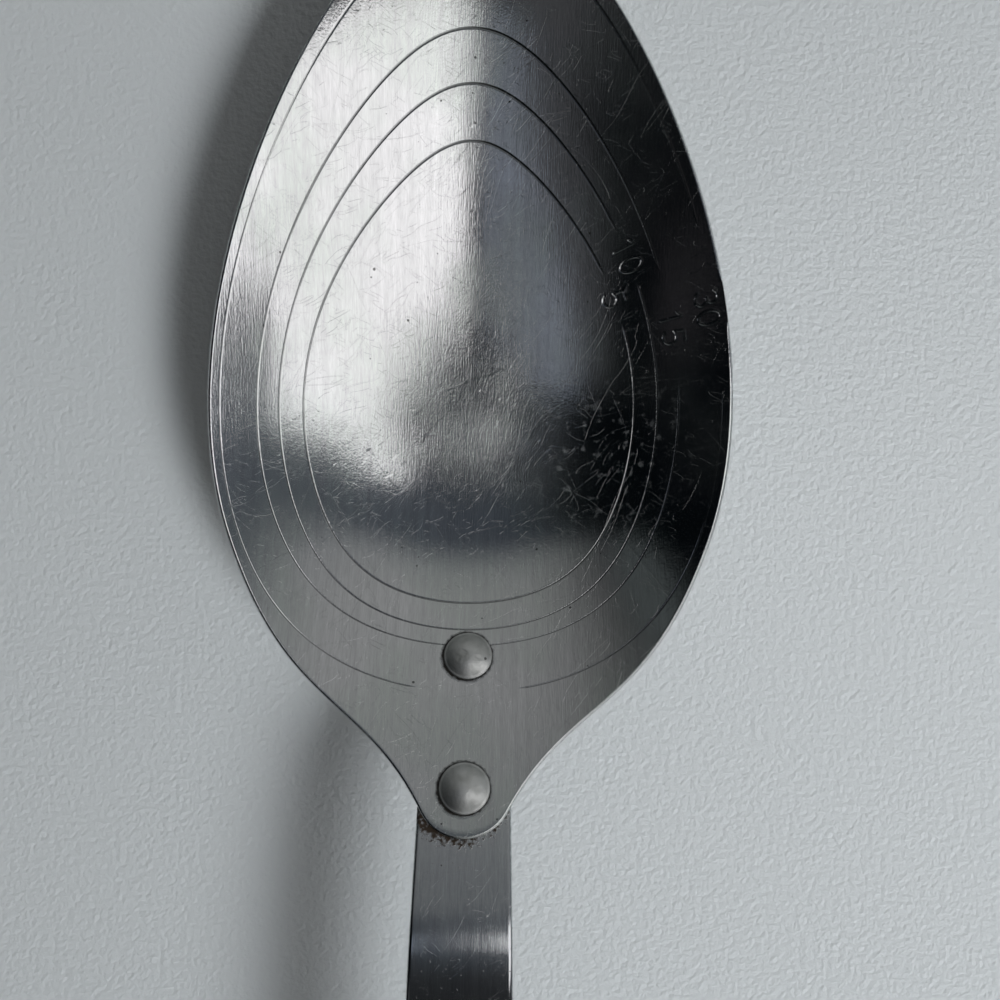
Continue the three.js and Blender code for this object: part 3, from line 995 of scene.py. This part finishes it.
        def local(points: np.ndarray) -> np.ndarray:
            """Plan points as positions along and across the numeral, on the wall."""
            away = points - origin
            return np.stack([away @ reading, away @ upward / lean], axis=-1)

        def plan_of(items: list) -> np.ndarray:
            """Plan points of vertices or face centres in the frame."""
            return np.array([(p[0] / MM, p[1] / MM - BOWL_Y) for p in items])

        faces = list(work.faces)
        centres = [face.calc_center_median() for face in faces]
        spots = plan_of(centres)
        near = np.all(np.abs(local(spots)) < reach, axis=1)
        level = self.form.height(spots[near])
        chosen = []
        for index, height in zip(np.flatnonzero(near), level):
            if abs(centres[index].z / MM - height) < self.skin_tolerance:
                chosen.append(faces[index])
        edges = {edge for face in chosen for edge in face.edges}
        bmesh.ops.subdivide_edges(work, edges=list(edges), cuts=self.numeral_cuts, use_grid_fill=True)
        verts = list(work.verts)
        plans = plan_of([vert.co for vert in verts])
        within = np.flatnonzero(np.all(np.abs(local(plans)) < reach + seam, axis=1))
        points, normals = self.form.skin(plans[within])
        heights = np.array([verts[i].co.z / MM for i in within])
        uncut = np.array([verts[i][groove] < 0.01 for i in within])
        keep = (np.abs(points[:, 2] - heights) < self.skin_tolerance) & uncut
        within, points, normals = within[keep], points[keep], normals[keep]
        spots = local(plans[within])
        start, run_along = strokes[:, 0], strokes[:, 1] - strokes[:, 0]
        share = np.einsum("psk,sk->ps", spots[:, None] - start[None], run_along)
        share = share / (run_along**2).sum(axis=1)
        nearest = start[None] + np.clip(share, 0.0, 1.0)[..., None] * run_along[None]
        gap = np.linalg.norm(spots[:, None] - nearest, axis=-1).min(axis=1)
        cut = np.clip(1.0 - (gap / self.stroke_half_width) ** 2, 0.0, 1.0) ** 1.5
        sunk = placed(points - normals * (cut * self.numeral_depth)[:, None])
        for index, place, value in zip(within, sunk, cut):
            verts[index].co = place
            # The strokes' groove value paints shade into the numeral.
            verts[index][groove] = self.numeral_painted_shade * value


@dataclass
class Rivet:
    """A rivet with a low domed head inside the spoon and a flatter head under the strap."""

    name: str
    node: str
    form: PressedForm
    reach: float
    seed: int
    head_diameter: float = 6.2
    head_height: float = 1.3
    head_side: float = 0.14
    dome_power: float = 2.2
    edge_round: float = 0.2
    shank_diameter: float = 3.4
    grip: float = 2.55
    tail_diameter: float = 5.4
    tail_height: float = 0.8
    tail_break: float = 0.08
    rim_break: float = 0.1
    rim_height: float = 0.06
    bedding: float = 0.03
    tail_bedding: float = 0.02
    dent_depth: float = 0.05
    dent_spacing: float = 1.3
    segments: int = 72

    def profile(self) -> bpy.types.Mesh:
        """Half the section of the rivet, from the top of its head to the bottom of its tail.

        Returns:
            A chain of edges with the radius, less the head's, as X and the depth as Y.
        """
        head, shank, tail = self.head_diameter / 2.0, self.shank_diameter / 2.0, self.tail_diameter / 2.0
        edge = self.edge_round
        dome = self.head_height - self.head_side - edge
        under, low = self.tail_bedding - self.grip, -self.tail_break - self.grip
        chain = []
        for share in np.linspace(0.0, 1.0, 17):
            chain.append(((head - edge) * share, self.head_height - dome * share**self.dome_power))
        for angle in np.radians(np.linspace(15.0, 90.0, 6)):
            chain.append((head - edge + edge * math.sin(angle), self.head_side + edge * math.cos(angle)))
        chain += [(head, self.rim_height), (head - self.rim_break, -self.bedding)]
        chain += [(shank, -self.bedding), (shank, under)]
        chain += [(tail - self.tail_break, under), (tail, low)]
        for angle in np.radians(np.linspace(9.0, 90.0, 10)):
            fall = (self.tail_height - self.tail_break) * math.sin(angle)
            chain.append((tail * math.cos(angle), low - fall))
        mesh = bpy.data.meshes.new(self.name + "_profile")
        points = [((radius - head) * MM, -height * MM, 0.0) for radius, height in chain]
        mesh.from_pydata(points, [(i, i + 1) for i in range(len(points) - 1)], [])
        return mesh

    @staticmethod
    def turning() -> Shape:
        """Geometry Nodes that turn a profile, dent the head and set the rivet in its seat.

        Returns:
            The nodes.
        """
        kinds = {
            "Profile": "Geometry",
            "Segments": "Int",
            "Radius": "Float",
            "Dent Depth": "Float",
            "Dent Scale": "Float",
            "Seed": "Float",
            "Lean": "Float",
            "Seat": "Vector",
            "Finish": "Material",
        }
        shape = Shape("turned_rivet", kinds)
        sizes = shape.sizes
        section = shape.add("GeometryNodeMeshToCurve", {"Mesh": sizes["Profile"]})
        circle = {"Resolution": sizes["Segments"], "Radius": sizes["Radius"]}
        rail = shape.add("GeometryNodeCurvePrimitiveCircle", circle)
        turned = shape.add("GeometryNodeCurveToMesh", {"Curve": rail, "Profile Curve": section})
        closed = shape.add("GeometryNodeMergeByDistance", {"Geometry": turned, "Distance": 0.001 * MM})
        place = shape.add("GeometryNodeInputPosition")
        dents = {"Vector": place, "W": sizes["Seed"], "Scale": sizes["Dent Scale"], "Detail": 2.0}
        noise = shape.add("ShaderNodeTexNoise", dents, noise_dimensions="4D")
        dent = shape.add("ShaderNodeMapRange", {0: noise, 1: 0.56, 2: 0.72}, **SMOOTH)
        depth = shape.add("ShaderNodeMath", {0: dent, 1: sizes["Dent Depth"]}, operation="MULTIPLY")
        sunk = shape.add("ShaderNodeCombineXYZ", {"Z": depth})
        height = shape.add("ShaderNodeSeparateXYZ", {0: place}, "Z")
        on_head = shape.add("FunctionNodeCompare", {0: height, 1: 0.1 * MM}, operation="GREATER_THAN")
        blows = {"Geometry": closed, "Selection": on_head, "Offset": sunk}
        beaten = shape.add("GeometryNodeSetPosition", blows)
        tilt = shape.add("ShaderNodeCombineXYZ", {"X": sizes["Lean"]})
        seat = {"Geometry": beaten, "Translation": sizes["Seat"], "Rotation": tilt}
        shape.close(shape.add("GeometryNodeTransform", seat))
        return shape

    def build(self, shape: Shape, material: Material) -> None:
        """Turns the rivet, sets it in its seat and ties it to its node.

        Args:
            shape: the turning nodes.
            material: the rivets' material.
        """
        seat, slope = self.form.heel_station(np.array([self.reach]), np.zeros(1))
        sizes = {
            "Segments": self.segments,
            "Radius": self.head_diameter / 2.0 * MM,
            "Dent Depth": -self.dent_depth * MM,
            "Dent Scale": scale_of(self.dent_spacing),
            "Seed": float(self.seed),
            "Lean": -float(slope[0]),
            "Seat": tuple(float(value) for value in placed(np.array([0.0, *seat[0]]))),
            "Finish": material,
        }
        mesh = shape.run(self.name, self.profile(), sizes)
        work = bmesh.new()
        work.from_mesh(mesh)
        finished(self.name, sealed(work, mesh), material, "rivets", self.node)


class FlatMesh:
    """A mesh that grows from points given in millimetres along, across and up."""

    def __init__(self) -> None:
        """Starts from an empty mesh."""
        self.work = bmesh.new()

    def point(self, along: float, across: float, height: float) -> bmesh.types.BMVert:
        """Adds a point, which lies towards -Y by its distance along."""
        return self.work.verts.new((across * MM, -along * MM, height * MM))

    def bridge(self, rings: list[list[bmesh.types.BMVert]]) -> None:
        """Joins each closed ring of points to the next.

        Args:
            rings: rings of equally many points.
        """
        for first, second in zip(rings, rings[1:]):
            for i in range(len(first)):
                j = (i + 1) % len(first)
                self.work.faces.new((first[i], first[j], second[j], second[i]))


@dataclass
class StrapHandle:
    """The strap: a flat blank with round ends and a hanging hole, bent along its spine."""

    form: PressedForm
    finish: BrushedSteel
    thickness: float = 1.6
    neck_width: float = 10.6
    end_width: float = 18.0
    edge_round: float = 0.4
    edge_guard: float = 0.12
    seat_gap: float = 0.25
    tight_gap: float = 0.01
    front_reserve: float = 9.0
    pad_clear: float = 4.0
    neck_straight: float = 6.5
    neck_bend_radius: float = 30.0
    rise_slope: float = math.radians(12.0)
    arch_radius: float = 190.0
    drop_slope: float = math.radians(19.0)
    toe_radius: float = 28.0
    pad_length: float = 24.0
    hole_diameter: float = 7.4
    hole_from_end: float = 9.0
    hole_round: float = 0.25
    end_clear: float = 0.02
    station_step: float = 1.2
    cross_cells: int = 12
    chart_span: float = 400.0

    def spine(self) -> np.ndarray:
        """The strap's middle line from its front end to its pad.

        Returns:
            Points as Y and Z, closely spaced.
        """
        form = self.form
        far = form.tang_reach + self.neck_straight
        reach = np.linspace(form.rivet_reaches[0] - self.front_reserve, far, 140)
        gap = np.interp(reach, [form.rivet_reaches[1], far], [self.tight_gap, self.seat_gap])
        heel, slope = form.heel_station(reach, form.sheet + gap + self.thickness / 2.0)
        run = np.concatenate([[0.0], np.cumsum(np.linalg.norm(np.diff(heel, axis=0), axis=1))])
        first = np.interp(form.rivet_reaches[0], reach, run) - self.neck_width / 2.0
        start = np.array([np.interp(first, run, heel[:, 0]), np.interp(first, run, heel[:, 1])])
        points = [start, *heel[run > first + 0.05]]
        turn = float(slope[-1])
        for radius, goal, count in (
            (self.neck_bend_radius, self.rise_slope, 30),
            (self.arch_radius, -self.drop_slope, 90),
        ):
            middle = points[-1] - radius * np.array([math.sin(turn), math.cos(turn)])
            for angle in np.linspace(turn, goal, count)[1:]:
                points.append(middle + radius * np.array([math.sin(angle), math.cos(angle)]))
            turn = goal
        toe_start = self.thickness / 2.0 + self.toe_radius * (1.0 - math.cos(self.drop_slope))
        drop = (points[-1][1] - toe_start) / math.sin(self.drop_slope)
        down = np.array([-math.cos(self.drop_slope), -math.sin(self.drop_slope)])
        foot = points[-1] + down * drop
        points += [points[-1] + down * drop * share for share in np.linspace(0.0, 1.0, 40)[1:]]
        for angle in np.linspace(self.drop_slope, 0.0, 30)[1:]:
            back = self.toe_radius * (math.sin(self.drop_slope) - math.sin(angle))
            fall = self.toe_radius * (math.cos(angle) - math.cos(self.drop_slope))
            points.append(foot + np.array([-back, -fall]))
        pad = np.array([-self.pad_length, 0.0])
        points += [points[-1] + pad * share for share in (0.25, 0.5, 0.75, 1.0)]
        return np.array(points)

    def half_outline(self, length: float) -> tuple[np.ndarray, np.ndarray]:
        """One side of the flat blank.

        Args:
            length: the blank's length.

        Returns:
            Points as distance along and half width, inset by the edges' rounding, and outward normals.
        """
        front, rear = self.neck_width / 2.0, self.end_width / 2.0
        points, normals = [], []
        for angle in np.radians(np.linspace(0.0, 90.0, 13)[:-1]):
            normals.append((-math.cos(angle), math.sin(angle)))
            points.append((front - front * math.cos(angle), front * math.sin(angle)))
        count = int((length - front - rear) / self.station_step)
        for share in np.linspace(0.0, 1.0, count):
            normals.append((0.0, 1.0))
            points.append((front + (length - front - rear) * share, front + (rear - front) * share))
        for angle in np.radians(np.linspace(90.0, 0.0, 19)[1:]):
            normals.append((math.cos(angle), math.sin(angle)))
            points.append((length - rear + rear * math.cos(angle), rear * math.sin(angle)))
        return np.array(points) - self.edge_round * np.array(normals), np.array(normals)

    def blank(self, length: float) -> bpy.types.Mesh:
        """The flat blank with rounded edges and its hole, from zero towards -Y.

        Args:
            length: the blank's length.

        Returns:
            The blank's mesh.
        """
        side, normal = self.half_outline(length)
        loop = np.concatenate([side, side[-2:0:-1] * [1.0, -1.0]])
        out = np.concatenate([normal, normal[-2:0:-1] * [1.0, -1.0]])
        half, soft, lip = self.thickness / 2.0, self.edge_round, self.hole_round
        flat = FlatMesh()
        rings = []
        for drop, turn in ((half - soft, 0.0), (-half + soft, 90.0)):
            for angle in np.radians(turn + np.linspace(0.0, 90.0, 5)):
                place = loop + soft * math.sin(angle) * out
                rings.append([flat.point(*spot, drop + soft * math.cos(angle)) for spot in place])
        flat.bridge(rings)
        upper = self.face(flat, rings[0], loop, length, half)
        lower = self.face(flat, rings[-1], loop, length, -half)
        centre, radius = length - self.hole_from_end, self.hole_diameter / 2.0
        angles = [math.atan2(vert.co.x / MM, -vert.co.y / MM - centre) for vert in upper]
        walls = [upper]
        for drop, turns in ((half - lip, (30.0, 60.0, 90.0)), (-half + lip, (90.0, 120.0, 150.0))):
            for angle in np.radians(turns):
                wide, height = radius + lip - lip * math.sin(angle), drop + lip * math.cos(angle)
                spots = [(centre + wide * math.cos(a), wide * math.sin(a)) for a in angles]
                walls.append([flat.point(*spot, height) for spot in spots])
        flat.bridge([*walls, lower])
        return sealed(flat.work, bpy.data.meshes.new("strap_blank"))

    def face(
        self, flat: FlatMesh, ring: list[bmesh.types.BMVert], loop: np.ndarray, length: float, height: float
    ) -> list[bmesh.types.BMVert]:
        """One flat face of the blank: rows across the run, and rings round the hole on the pad.

        Args:
            flat: the blank's mesh.
            ring: the face's boundary points.
            loop: the boundary as distance along and across.
            length: the blank's length.
            height: the face's height.

        Returns:
            The ring of points round the hole.
        """
        count = len(ring)
        side = loop[: count // 2 + 1, 0]
        pad = int(np.searchsorted(side, length - self.pad_length + self.pad_clear))
        rows = []
        for index in range(1, pad + 1):
            wide = loop[index][1] - self.edge_guard
            spread = np.linspace(wide, -wide, self.cross_cells - 1)
            inner = [flat.point(loop[index][0], across, height) for across in spread]
            rows.append([ring[index], *inner, ring[count - index]])
        for k in range(self.cross_cells):
            flat.work.faces.new((ring[0], rows[0][k], rows[0][k + 1]))
        for first, second in zip(rows, rows[1:]):
            for k in range(self.cross_cells):
                flat.work.faces.new((first[k], second[k], second[k + 1], first[k + 1]))
        outer = [ring[i] for i in range(pad, count - pad + 1)] + rows[-1][-2:0:-1]
        centre = length - self.hole_from_end
        mouth = self.hole_diameter / 2.0 + self.hole_round
        rings = [outer]
        for share in (0.25, 0.5, 0.75, 1.0):
            layer = []
            for vert in outer:
                across, along = vert.co.x / MM, -vert.co.y / MM
                angle = math.atan2(across, along - centre)
                goal = (centre + mouth * math.cos(angle), mouth * math.sin(angle))
                spot = (along + (goal[0] - along) * share, across + (goal[1] - across) * share)
                layer.append(flat.point(*spot, height))
            rings.append(layer)
        flat.bridge(rings)
        return rings[-1]

    @staticmethod
    def bending() -> Shape:
        """Geometry Nodes that bend a flat blank along a spine.

        Returns:
            The nodes.
        """
        shape = Shape("bent_strap", {"Blank": "Geometry", "Spine": "Object", "Finish": "Material"})
        sizes = shape.sizes
        wire = shape.add("GeometryNodeObjectInfo", {"Object": sizes["Spine"]}, "Geometry")
        curve = shape.add("GeometryNodeMeshToCurve", {"Mesh": wire})
        place = shape.add("GeometryNodeInputPosition")
        flat = shape.add("ShaderNodeSeparateXYZ", {0: place}).node.outputs
        run = shape.add("ShaderNodeMath", {0: flat["Y"], 1: -1.0}, operation="MULTIPLY")
        path = {"Curves": curve, "Length": run}
        sample = shape.add("GeometryNodeSampleCurve", path, mode="LENGTH").node.outputs
        sides = {0: sample["Tangent"], 1: (1.0, 0.0, 0.0)}
        upward = shape.add("ShaderNodeVectorMath", sides, operation="CROSS_PRODUCT")
        raised = shape.add("ShaderNodeVectorMath", {0: upward, "Scale": flat["Z"]}, operation="SCALE")
        aside = shape.add("ShaderNodeCombineXYZ", {"X": flat["X"]})
        offset = shape.add("ShaderNodeVectorMath", {0: raised, 1: aside}, operation="ADD")
        goal = shape.add("ShaderNodeVectorMath", {0: offset, 1: sample["Position"]}, operation="ADD")
        bent = {"Geometry": sizes["Blank"], "Position": goal}
        shape.close(shape.add("GeometryNodeSetPosition", bent))
        return shape

    def build(self) -> None:
        """Cuts the blank, bends it and ties it to the node handle."""
        spine = self.spine()
        length = float(np.linalg.norm(np.diff(spine, axis=0), axis=1).sum())
        path = placed(np.insert(spine, 0, 0.0, axis=1))
        wire = bpy.data.meshes.new("strap_spine")
        wire.from_pydata(path.tolist(), [(i, i + 1) for i in range(len(path) - 1)], [])
        guide = linked("strap_spine", wire)
        blank = self.blank(length - self.end_clear)
        chart_plan(blank, self.chart_span, (0.5, 1.0))
        material = self.finish.material()
        mesh = self.bending().run("strap_handle", blank, {"Spine": guide, "Finish": material})
        bpy.data.objects.remove(guide)
        finished("strap_handle", mesh, material, "handle", "handle")


@dataclass(frozen=True)
class RivetSteel:
    """Soft steel, cold-headed and dulled: a grey metal with a broad sheen, cloudy tone, small nicks and
    dark pits.
    """

    name: str = "dull_headed_steel"
    tint: str = "#C0C3C1"
    shade: str = "#AEB1AE"
    pit_tone: str = "#3A3A38"
    roughness: float = 0.46
    cloud_width: float = 1.6
    nick_width: float = 0.35
    nick_depth: float = 0.02

    def material(self) -> Material:
        """Builds the material.

        Returns:
            The material.
        """
        graph = Surface(self.name)
        blots = {"Vector": graph.place, "Scale": scale_of(self.cloud_width), "Detail": 5.0}
        cloud = graph.add("ShaderNodeTexNoise", blots)
        marks = {"Vector": graph.place, "Scale": scale_of(self.nick_width), "Detail": 3.0}
        nicks = graph.add("ShaderNodeTexNoise", marks)
        tone = graph.add("ShaderNodeMapRange", {0: cloud, 1: 0.3, 2: 0.6})
        greys = {6: linear(self.shade), 7: linear(self.tint)}
        colour = graph.add("ShaderNodeMix", {0: tone, **greys}, **COLOUR_MIX)
        holes = {0: BrushedSteel.pits(graph), 6: colour, 7: linear(self.pit_tone)}
        colour = graph.add("ShaderNodeMix", holes, **COLOUR_MIX)
        spread = {3: self.roughness + 0.07, 4: self.roughness - 0.07}
        rough = graph.add("ShaderNodeMapRange", {0: cloud, 1: 0.3, 2: 0.7, **spread})
        relief = graph.add("ShaderNodeMath", {0: nicks, 1: self.nick_depth * MM}, operation="MULTIPLY")
        return graph.close(relief, {"Base Color": colour, "Metallic": 1.0, "Roughness": rough})


@dataclass(frozen=True)
class SoftBox:
    """A rectangular soft lamp, by its place and the point that it faces, in metres.

    A mirrored lamp is only seen in the metal. The others light the table and cast the shadows.
    """

    name: str
    place: Point
    target: Point
    size: tuple[float, float]
    power: float
    turn: float = 0.0
    mirrored: bool = True
    spread: float = math.pi
    tint: str = "#FFFBFB"

    def hang(self) -> None:
        """Hangs the lamp so that it faces its target."""
        lamp = bpy.data.lights.new(self.name, "AREA")
        lamp.shape = "RECTANGLE"
        lamp.size, lamp.size_y = self.size
        lamp.energy = self.power
        lamp.spread = self.spread
        lamp.color = linear(self.tint)[:3]
        holder = linked(self.name, lamp)
        holder.location = self.place
        away = Vector(self.place) - Vector(self.target)
        facing = away.to_track_quat("Z", "Y") @ Quaternion((0.0, 0.0, 1.0), self.turn)
        holder.rotation_euler = facing.to_euler()
        holder.visible_camera = False
        holder.visible_glossy = self.mirrored
        holder.visible_diffuse = not self.mirrored


@dataclass(frozen=True)
class Pane:
    """A soft-edged patch of the room: its light, and its sides.

    A side names an axis of the direction, where the patch begins on it and where it is full.
    """

    light: Rgba
    sides: tuple[tuple[str, float, float], ...]


@dataclass
class Studio:
    """Table, surroundings, soft boxes and camera.

    The bands give the room's light by direction, from behind the handle at -1 to beyond the tip at 1.
    """

    table: str = "#C4C7C6"
    lamps: tuple[SoftBox, ...] = (
        SoftBox(
            "right_window", (0.215, 0.088, 0.2), (0.215, 0.088, 0.0), (0.37, 0.1), 0.186, math.radians(4.0)
        ),
        SoftBox("window_corner", (0.024, 0.094, 0.2), (0.024, 0.094, 0.0), (0.032, 0.026), 0.0044),
        SoftBox(
            "window_glow", (-0.046, 0.091, 0.2), (-0.046, 0.091, 0.0), (0.052, 0.03), 0.0014, tint="#DEE9FF"
        ),
        SoftBox(
            "far_key",
            (0.76, -0.62, 0.8),
            (0.18, 0.0, 0.0),
            (0.6, 0.5),
            1.16,
            mirrored=False,
            spread=math.radians(29.0),
            tint="#F6FAFF",
        ),
    )
    bands: tuple[tuple[float, Rgba], ...] = (
        (-0.1, (0.03, 0.032, 0.034, 1.0)),
        (0.08, (0.045, 0.048, 0.052, 1.0)),
        (0.2, (0.07, 0.078, 0.09, 1.0)),
        (0.32, (0.095, 0.108, 0.128, 1.0)),
        (0.48, (0.095, 0.108, 0.128, 1.0)),
        (0.63, (0.33, 0.335, 0.34, 1.0)),
        (0.75, (0.39, 0.39, 0.39, 1.0)),
        (0.9, (0.43, 0.43, 0.43, 1.0)),
    )
    panes: tuple[Pane, ...] = (
        Pane(
            (1.53, 1.51, 1.52, 1.0),
            (("X", 0.2, 0.45), ("Y", -0.18, -0.36), ("Z", 0.66, 0.46), ("Z", 0.04, 0.16)),
        ),
        Pane(
            (0.6, 0.6, 0.61, 1.0),
            (("X", -0.14, 0.0), ("X", 0.4, 0.24), ("Y", -0.1, -0.26), ("Z", 0.5, 0.68)),
        ),
        Pane(
            (0.084, 0.085, 0.09, 1.0),
            (("X", -0.73, -0.47), ("X", -0.16, -0.34), ("Y", -0.26, -0.14), ("Y", 0.1, -0.06)),
        ),
        Pane(
            (0.022, 0.021, 0.023, 1.0),
            (("X", -0.8, -0.9), ("Y", 0.04, -0.02), ("Y", -0.3, -0.12), ("Z", 0.5, 0.43)),
        ),
        Pane(
            (0.085, 0.097, 0.097, 1.0),
            (("X", -0.6, -0.74), ("Y", 0.34, 0.46), ("Z", 0.62, 0.5), ("Z", 0.2, 0.34)),
        ),
    )
    horizon: Rgba = (0.4, 0.41, 0.42, 1.0)
    dark_side: Rgba = (0.002, 0.003, 0.004, 1.0)
    backdrop: Rgba = (0.46, 0.48, 0.49, 1.0)
    side_pull: float = 0.22
    eye: Point = (3.82, -12.32, 136.41)
    roll: float = math.radians(0.73)
    table_half_width: float = 4.0
    peel_width: float = 0.9
    peel_depth: float = 0.2

    def lay_table(self) -> None:
        """Lays a plain pale table top with a faint orange-peel grain."""
        mesh = bpy.data.meshes.new("table_top")
        wide = self.table_half_width
        corners = [(-wide, -wide, 0.0), (wide, -wide, 0.0), (wide, wide, 0.0), (-wide, wide, 0.0)]
        mesh.from_pydata(corners, [], [(0, 1, 2, 3)])
        graph = Surface("pale_laminate")
        grain = {"Vector": graph.place, "Scale": scale_of(self.peel_width), "Detail": 2.0}
        peel = graph.add("ShaderNodeTexNoise", grain)
        relief = graph.add("ShaderNodeMath", {0: peel, 1: self.peel_depth * MM}, operation="MULTIPLY")
        mesh.materials.append(graph.close(relief, {"Base Color": linear(self.table), "Roughness": 0.5}))
        top = linked("table_top", mesh)

    @staticmethod
    def ramp_place(height: float) -> float:
        """Place on a ramp of a height from -1 to 1."""
        return (height + 1.0) / 2.0

    def light_room(self) -> None:
        """Sets a dim room: grey beyond the tip, darker overhead, black to the left, pale at the horizon."""
        world = bpy.data.worlds.new("dim_room")
        world.use_nodes = True
        bpy.context.scene.world = world
        graph = Graph(world.node_tree)
        ray = graph.add("ShaderNodeTexCoord", output="Generated")
        axis = graph.add("ShaderNodeSeparateXYZ", {0: ray}).node.outputs
        aside = graph.add("ShaderNodeMath", {0: axis["X"]}, operation="ABSOLUTE")
        pulled = {0: aside, 1: self.side_pull, 2: axis["Y"]}
        along = graph.add("ShaderNodeMath", pulled, operation="MULTIPLY_ADD")
        along = graph.add("ShaderNodeMapRange", {0: along, 1: -1.0, 2: 1.0})
        room = graph.add("ShaderNodeValToRGB", {0: along})
        ramp = room.node.color_ramp.elements
        for element, (height, light) in zip((ramp[0], ramp[1]), (self.bands[0], self.bands[-1])):
            element.position, element.color = self.ramp_place(height), light
        for height, light in self.bands[1:-1]:
            ramp.new(self.ramp_place(height)).color = light
        rise = {0: along, 1: self.ramp_place(0.42), 2: self.ramp_place(0.6)}
        far = graph.add("ShaderNodeMapRange", {**rise, 3: -0.5, 4: -0.9})
        near = graph.add("ShaderNodeMapRange", {**rise, 3: 0.2, 4: 0.05})
        lit = graph.add("ShaderNodeMapRange", {0: axis["X"], 1: far, 2: near}, **SMOOTH)
        low = graph.add("ShaderNodeMapRange", {0: axis["Z"], 1: 0.16, 2: 0.02}, **SMOOTH)
        room = graph.add("ShaderNodeMix", {0: low, 6: room, 7: self.horizon}, **COLOUR_MIX)
        room = graph.add("ShaderNodeMix", {0: lit, 6: self.dark_side, 7: room}, **COLOUR_MIX)
        for pane in self.panes:
            share: object = 1.0
            for name, start, full in pane.sides:
                side = graph.add("ShaderNodeMapRange", {0: axis[name], 1: start, 2: full}, **SMOOTH)
                share = graph.add("ShaderNodeMath", {0: share, 1: side}, operation="MULTIPLY")
            room = graph.add("ShaderNodeMix", {0: share, 6: room, 7: pane.light}, **COLOUR_MIX)
        seen = graph.add("ShaderNodeLightPath", output="Is Camera Ray")
        room = graph.add("ShaderNodeMix", {0: seen, 6: room, 7: self.backdrop}, **COLOUR_MIX)
        back = graph.add("ShaderNodeBackground", {"Color": room, "Strength": 1.0})
        graph.add("ShaderNodeOutputWorld", {"Surface": back})

    def set_camera(self) -> None:
        """Sets the camera straight above the bowl, looking down."""
        data = bpy.data.cameras.new("camera")
        data.lens = 36.0
        data.sensor_width = 36.0
        data.clip_start = 0.01
        camera = linked("camera", data)
        camera.location = placed(np.array(self.eye))
        camera.rotation_euler = (0.0, 0.0, self.roll)
        bpy.context.scene.camera = camera

    def build(self) -> None:
        """Builds the whole setting."""
        bpy.context.scene.view_settings.view_transform = "Standard"
        self.lay_table()
        self.light_room()
        for lamp in self.lamps:
            lamp.hang()
        self.set_camera()


def main() -> None:
    """Builds the setting and the spoon's pieces in order."""
    logging.basicConfig(level=logging.INFO, format="%(name)s %(message)s")
    Studio().build()
    form = PressedForm()
    seats = [form.heel_station(np.array([reach]), np.zeros(1))[0][0] for reach in form.rivet_reaches]
    # Dark rings round the rivet heads where they meet the sheet: grime and painted shade.
    rings = tuple(Soiled((-0.08, float(seat[0]) - 0.05, float(seat[1])), 3.1, 0.8) for seat in seats)
    marks = (Soiled((19.0, -7.0, 6.0), 2.0, 11.0),)
    sheet = BrushedSteel("worn_brushed_sheet", grimy_shaded_joints=rings, water_marks=marks)
    Bowl(form, sheet).build()
    tang_end = (-0.7, float(seats[1][0]) - 0.25, float(seats[1][1]))
    strap = BrushedSteel(
        "brushed_strap",
        tint="#C0C2C4",
        shade="#A6A8AB",
        cool="#BABFBE",
        # Dark brown on the strap round the neck rivet, out past the tang's lobe: grime and painted shade.
        joint_grime_and_shade="#33271A",
        roughness=0.12,
        anisotropy=0.4,
        scratches=0.6,
        scuffing=0.3,
        crumble=2.4,
        grimy_shaded_joints=(Soiled(tang_end, form.lobe_radius - 0.4, 2.0),),
    )
    StrapHandle(form, strap).build()
    turning = Rivet.turning()
    dull = RivetSteel().material()
    for node, reach, seed in zip(("bowl_rivet", "neck_rivet"), form.rivet_reaches, (3, 8)):
        Rivet(node + "_turned", node, form, reach, seed).build(turning, dull)


if __name__ == "__main__":
    main()
